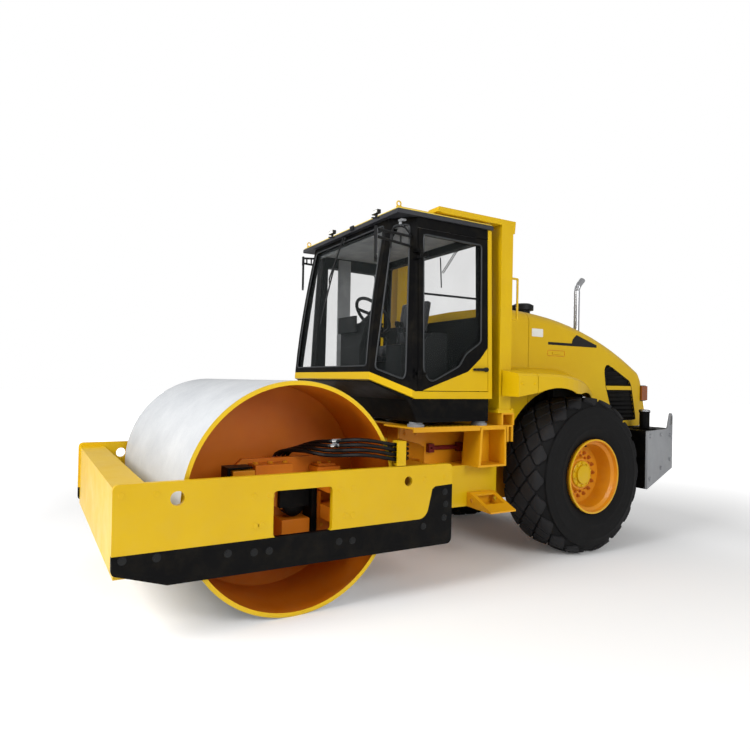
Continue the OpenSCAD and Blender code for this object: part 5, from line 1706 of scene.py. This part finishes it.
@dataclass
class EngineBay(Assembly):
    """What the tilted hood shows on the engine: covers, air cleaner, manifold, radiator, battery box and pipes."""

    top_z: float = 1.78
    half: float = 0.4375
    cylinders: int = 6
    cleaner_x: float = 0.29
    manifold_x: float = -0.33
    cooler_y: Pair = (3.60, 3.74)
    cooler_half: float = 0.38
    fins: int = 47

    def covers(self) -> None:
        """Adds the valve cover with its ribs, oil cap and bolts."""
        top = self.top_z
        cover = Shape().box((-0.17, 2.84, top), (0.15, 3.42, top + 0.10))
        for i in range(self.cylinders):
            y = 2.90 + i * 0.092
            cover.box((-0.15, y, top + 0.1001), (0.13, y + 0.022, top + 0.115))
        cover.lathe([(0, 0), (0.045, 0), (0.045, 0.03), (0.035, 0.04), (0, 0.04)], at(0.075, 3.19, top + 0.1002),
                    sides=24)
        publish(cover, "valve_cover", Body.REAR, Finish.GREY, bevel=0.006)
        spots = [Spot(tuple(at(x, y, top)), UP, spin=y) for x in (-0.192, 0.172)
                 for y in (2.88, 3.02, 3.16, 3.30, 3.40)]
        self.repeat("cover_bolts", hex_bolt(), spots, Body.REAR, Finish.STEEL, 0.011)

    def air_side(self) -> None:
        """Adds the air cleaner with its bands, its cradles and the intake pipe."""
        x, z = self.cleaner_x, self.top_z + 0.105
        canister = Shape().lathe([(0, 0), (0.07, 0), (0.088, 0.02), (0.088, 0.40), (0.07, 0.42), (0, 0.42)],
                                 at(x, 2.86, z), (0, 1, 0), 40)
        for y in (2.93, 3.17):
            canister.lathe([(0.087, 0), (0.093, 0), (0.093, 0.02), (0.087, 0.02)], at(x, y, z), (0, 1, 0), 40)
        publish(canister, "air_cleaner", Body.REAR, Finish.PLASTIC, angle=30)
        cradle = Shape()
        for y in (2.94, 3.18):
            cradle.box((0.22, y, self.top_z), (0.36, y + 0.04, self.top_z + 0.045))
        publish(cradle, "cleaner_cradles", Body.REAR, Finish.ENGINE, bevel=0.003)
        pipe = smooth_route([at(x, 3.27, z), at(x, 3.36, z), at(0.26, 3.43, z - 0.01), at(0.17, 3.47, z - 0.04),
                             at(0.05, 3.475, z - 0.07), at(0.0, 3.475, self.top_z + 0.002)], 6)
        publish(Shape().tube(pipe, 0.036, 16), "intake_pipe", Body.REAR, Finish.HOSE)

    def exhaust_side(self) -> None:
        """Adds the manifold's log and stubs, and the muffler."""
        x, top = self.manifold_x, self.top_z
        metal = Shape().rod(at(x, 2.88, top + 0.075), at(x, 3.40, top + 0.075), 0.034, 20)
        for y in (2.92 + i * 0.088 for i in range(self.cylinders)):
            stub = [at(-0.172, y, top + 0.05), at(-0.24, y, top + 0.055), at(-0.31, y, top + 0.072)]
            metal.tube(smooth_route(stub, 4), 0.018, 10)
        metal.lathe([(0, 0), (0.06, 0.012), (0.082, 0.05), (0.082, 0.10), (0.05, 0.13), (0, 0.13)],
                    at(x, 3.40, top + 0.085), (0, 1, 0), 28)
        publish(metal, "exhaust_manifold", Body.REAR, Finish.STEEL, angle=40)

    def cooler(self) -> None:
        """Adds the radiator with its tanks, cap and row of fins."""
        (y0, y1), w, top = self.cooler_y, self.cooler_half, self.top_z
        tanks = Shape().box((-w, y0, top), (w, y1, top + 0.05)).box((-w, y0, top + 0.17), (w, y1, top + 0.215))
        for x in (-w, w - 0.03):
            tanks.box((x, y0, top + 0.0501), (x + 0.03, y1, top + 0.1699))
        tanks.lathe(disc(0.03, 0.02), at(0.25, 3.67, top + 0.2152), sides=24)
        publish(tanks, "radiator_tanks", Body.REAR, Finish.BLACK, bevel=0.004)
        fin = Shape().box((-0.003, -SHIFT_Y - 0.06, 0), (0.003, -SHIFT_Y + 0.08, 0.1196))
        spots = [Spot(tuple(at(-0.338 + i * 0.0146, y0 + 0.06, top + 0.0502))) for i in range(self.fins)]
        self.repeat("radiator_fins", fin, spots, Body.REAR, Finish.STEEL)

    def sides(self) -> None:
        """Adds filters, a battery box, hoses and bolts on the engine's side walls."""
        parts, pipes = Shape(), Shape()
        x = self.half + 0.0002
        for y in (3.02, 3.15):
            parts.rod(at(x + 0.05, y, 1.38), at(x + 0.05, y, 1.58), 0.045, 24)
            parts.box((x, y - 0.05, 1.5801), (x + 0.09, y + 0.05, 1.62))
        parts.box((-x - 0.15, 2.90, 1.30), (-x, 3.20, 1.52))
        for z, y in ((1.66, 3.60), (1.70, 3.58)):
            route = [at(x + 0.045, 3.02, z - 0.04), at(x + 0.05, 3.04, z), at(x + 0.04, 3.25, z + 0.01),
                     at(x + 0.035, y - 0.1, z), at(x + 0.02, y, z - 0.03), at(x - 0.01, y + 0.02, z - 0.06)]
            pipes.tube(smooth_route(route, 6), 0.013, 10)
        spots = [Spot(tuple(at(s * x, y, z)), (s, 0, 0), spin=y) for s in BOTH for y in (2.84, 3.32, 3.50, 3.70)
                 for z in (1.22, 1.45, 1.72)]
        publish(parts, "engine_side_parts", Body.REAR, Finish.BLACK, bevel=0.005)
        publish(pipes, "engine_side_hoses", Body.REAR, Finish.HOSE)
        self.repeat("engine_bolts", hex_bolt(), spots, Body.REAR, Finish.STEEL, 0.013)

    def build(self) -> None:
        """Adds every piece of the engine."""
        self.covers()
        self.air_side()
        self.exhaust_side()
        self.cooler()
        self.sides()


# Camera and studio


@dataclass
class Studio:
    """Camera at the photograph's place, pale floor and soft light."""

    eye: tuple[float, float, float] = (4.465, -3.3915, 1.603)
    azimuth: float = 62.2
    pitch: float = 0.233
    roll: float = 1.097
    focal_px: float = 555.187
    centre_px: Pair = (318.07, 378.18)
    image_px: float = 750.0
    floor_half: float = 60.0
    glow_reach: Pair = (4.0, 10.0)
    glow: Pair = (0.03, 1.0)
    sky_light: float = 0.42
    sky_shown: float = 1.0

    def camera(self) -> None:
        """Places the camera."""
        a, e, r = (math.radians(v) for v in (self.azimuth, self.pitch, self.roll))
        look = Vector((-math.sin(a) * math.cos(e), math.cos(a) * math.cos(e), math.sin(e)))
        side = Vector((math.cos(a), math.sin(a), 0.0))
        up = side.cross(look)
        side, up = math.cos(r) * side + math.sin(r) * up, math.cos(r) * up - math.sin(r) * side
        data = bpy.data.cameras.new("camera")
        data.sensor_width = 36.0
        data.lens = self.focal_px * data.sensor_width / self.image_px
        data.shift_x = (self.image_px / 2 - self.centre_px[0]) / self.image_px
        data.shift_y = (self.centre_px[1] - self.image_px / 2) / self.image_px
        cam = bpy.data.objects.new("camera", data)
        cam.matrix_world = Matrix.Translation(self.eye) @ Matrix((side, up, -look)).transposed().to_4x4()
        bpy.context.scene.collection.objects.link(cam)
        bpy.context.scene.camera = cam

    def lamp(self, name: str, place: Point, aim: Point, size: float, watts: float) -> None:
        """Adds a soft area light.

        Args:
            name: of the lamp.
            place: where it hangs.
            aim: the point that it faces.
            size: its diameter.
            watts: its power.
        """
        data = bpy.data.lights.new(name, "AREA")
        data.shape, data.size, data.energy = "DISK", size, watts
        obj = bpy.data.objects.new(name, data)
        way = Vector(aim) - Vector(place)
        obj.matrix_world = Matrix.Translation(place) @ way.to_track_quat("-Z", "Y").to_matrix().to_4x4()
        bpy.context.scene.collection.objects.link(obj)

    def floor(self) -> None:
        """Lays the pale floor, which shows white and keeps the shadow."""
        h = self.floor_half
        data = Shape().faces([(-h, -h, 0), (h, -h, 0), (h, h, 0), (-h, h, 0)], [(0, 1, 2, 3)]).mesh("floor")
        obj = bpy.data.objects.new("floor", data)
        n = Nodes("floor_pale")
        seen = n.add("ShaderNodeLightPath")
        n.put(n.shader, "Base Color", rgb(252, 252, 252))
        n.put(n.shader, "Roughness", 0.9)
        n.put(n.shader, "Emission Color", (1, 1, 1, 1))
        far = n.add("ShaderNodeVectorMath", operation="LENGTH")
        n.put(far, 0, n.coord)
        glow = n.ramp(far.outputs["Value"], *self.glow_reach, *self.glow)
        n.put(n.shader, "Emission Strength", n.math("MULTIPLY", seen.outputs["Is Camera Ray"], glow))
        data.materials.append(n.mat)
        bpy.context.scene.collection.objects.link(obj)

    def sky(self) -> None:
        """Makes a white background that lights the object softly."""
        world = bpy.data.worlds.new("studio")
        bpy.context.scene.world = world
        world.use_nodes = True
        tree = world.node_tree
        back = tree.nodes["Background"]
        path = tree.nodes.new("ShaderNodeLightPath")
        shown = tree.nodes.new("ShaderNodeMath")
        shown.operation = "MAXIMUM"
        tree.links.new(path.outputs["Is Camera Ray"], shown.inputs[0])
        tree.links.new(path.outputs["Is Transmission Ray"], shown.inputs[1])
        level = tree.nodes.new("ShaderNodeMapRange")
        tree.links.new(shown.outputs[0], level.inputs["Value"])
        level.inputs["To Min"].default_value = self.sky_light
        level.inputs["To Max"].default_value = self.sky_shown
        tree.links.new(level.outputs["Result"], back.inputs["Strength"])
        back.inputs["Color"].default_value = (1, 1, 1, 1)

    def build(self) -> None:
        """Makes the camera, floor, world and lamps."""
        self.camera()
        self.floor()
        self.sky()
        bpy.context.scene.view_settings.view_transform = "Standard"
        self.lamp("key", (1.5, -8.0, 5.0), (0, -1.0, 1.0), 4.0, 620)
        self.lamp("side", (8.0, 0.5, 4.5), (0, 0.3, 1.0), 4.0, 250)
        self.lamp("fill", (-6.0, 4.5, 4.0), (0, 0, 1.2), 5.0, 150)


# The machine


@dataclass
class Castings:
    """CAD nodes that only need their finish."""

    plan: dict[Finish, str] = field(default_factory=lambda: {
        Finish.YELLOW: "side_plates front_beam hose_clamp cab_sill rops_frame cowl hood_fenders door_panel",
        Finish.HOOD: "hood",
        Finish.ORANGE: "rear_beam rear_chassis rear_axle",
        # drum heads, carriers and lining take the orange darkened as painted shade of the recess; the lining's end
        # faces keep their yellow paint
        Finish.SHADED_RECESS: "drum_heads drum_carriers",
        Finish.LINING: "drum_lining",
        Finish.RIM: "rim_left rim_right",
        Finish.AMBER: "deck",
        Finish.STEP: "steps",
        Finish.BLACK: "side_bands scrapers counterweight cab_floor cab_frame hood_grilles door steer_barrel_left "
                      "steer_barrel_right",
        Finish.GREY: "counterweight_plates",
        Finish.ENGINE: "engine_block",
        Finish.ROOF: "cab_roof",
        Finish.RED: "lock_bar",
        Finish.DRUM: "drum_shell",
        Finish.STEEL: "exhaust_stack",
        Finish.CHROME: "steer_rod_left steer_rod_right",
        Finish.TYRE: "tyre_left tyre_right",
        Finish.HOSE: "drum_hoses",
        Finish.MOUNT: "cab_mounts",
        Finish.PLASTIC: "driver_seat console steering_wheel mirrors wipers air_intake",
        Finish.LENS: "tail_lights",
        Finish.CLOTH: "seat_cushions",
        Finish.GLASS: "cab_glass door_glass"})

    def build(self) -> None:
        """Dresses every node."""
        for finish, nodes in self.plan.items():
            for node in nodes.split():
                dress(node, finish)


def main() -> None:
    """Builds the studio and the machine's pieces in order."""
    logging.basicConfig(level=logging.INFO, format="%(message)s")
    Studio().build()
    Castings().build()
    repeater = Repeater()
    for assembly in (FrontFrame(repeater), Drum(repeater), RearWheel(repeater, 1), RearWheel(repeater, -1),
                     Cab(repeater), Seat(), Hood(repeater), RearFrame(repeater), EngineBay(repeater)):
        assembly.build()


if __name__ == "__main__":
    main()
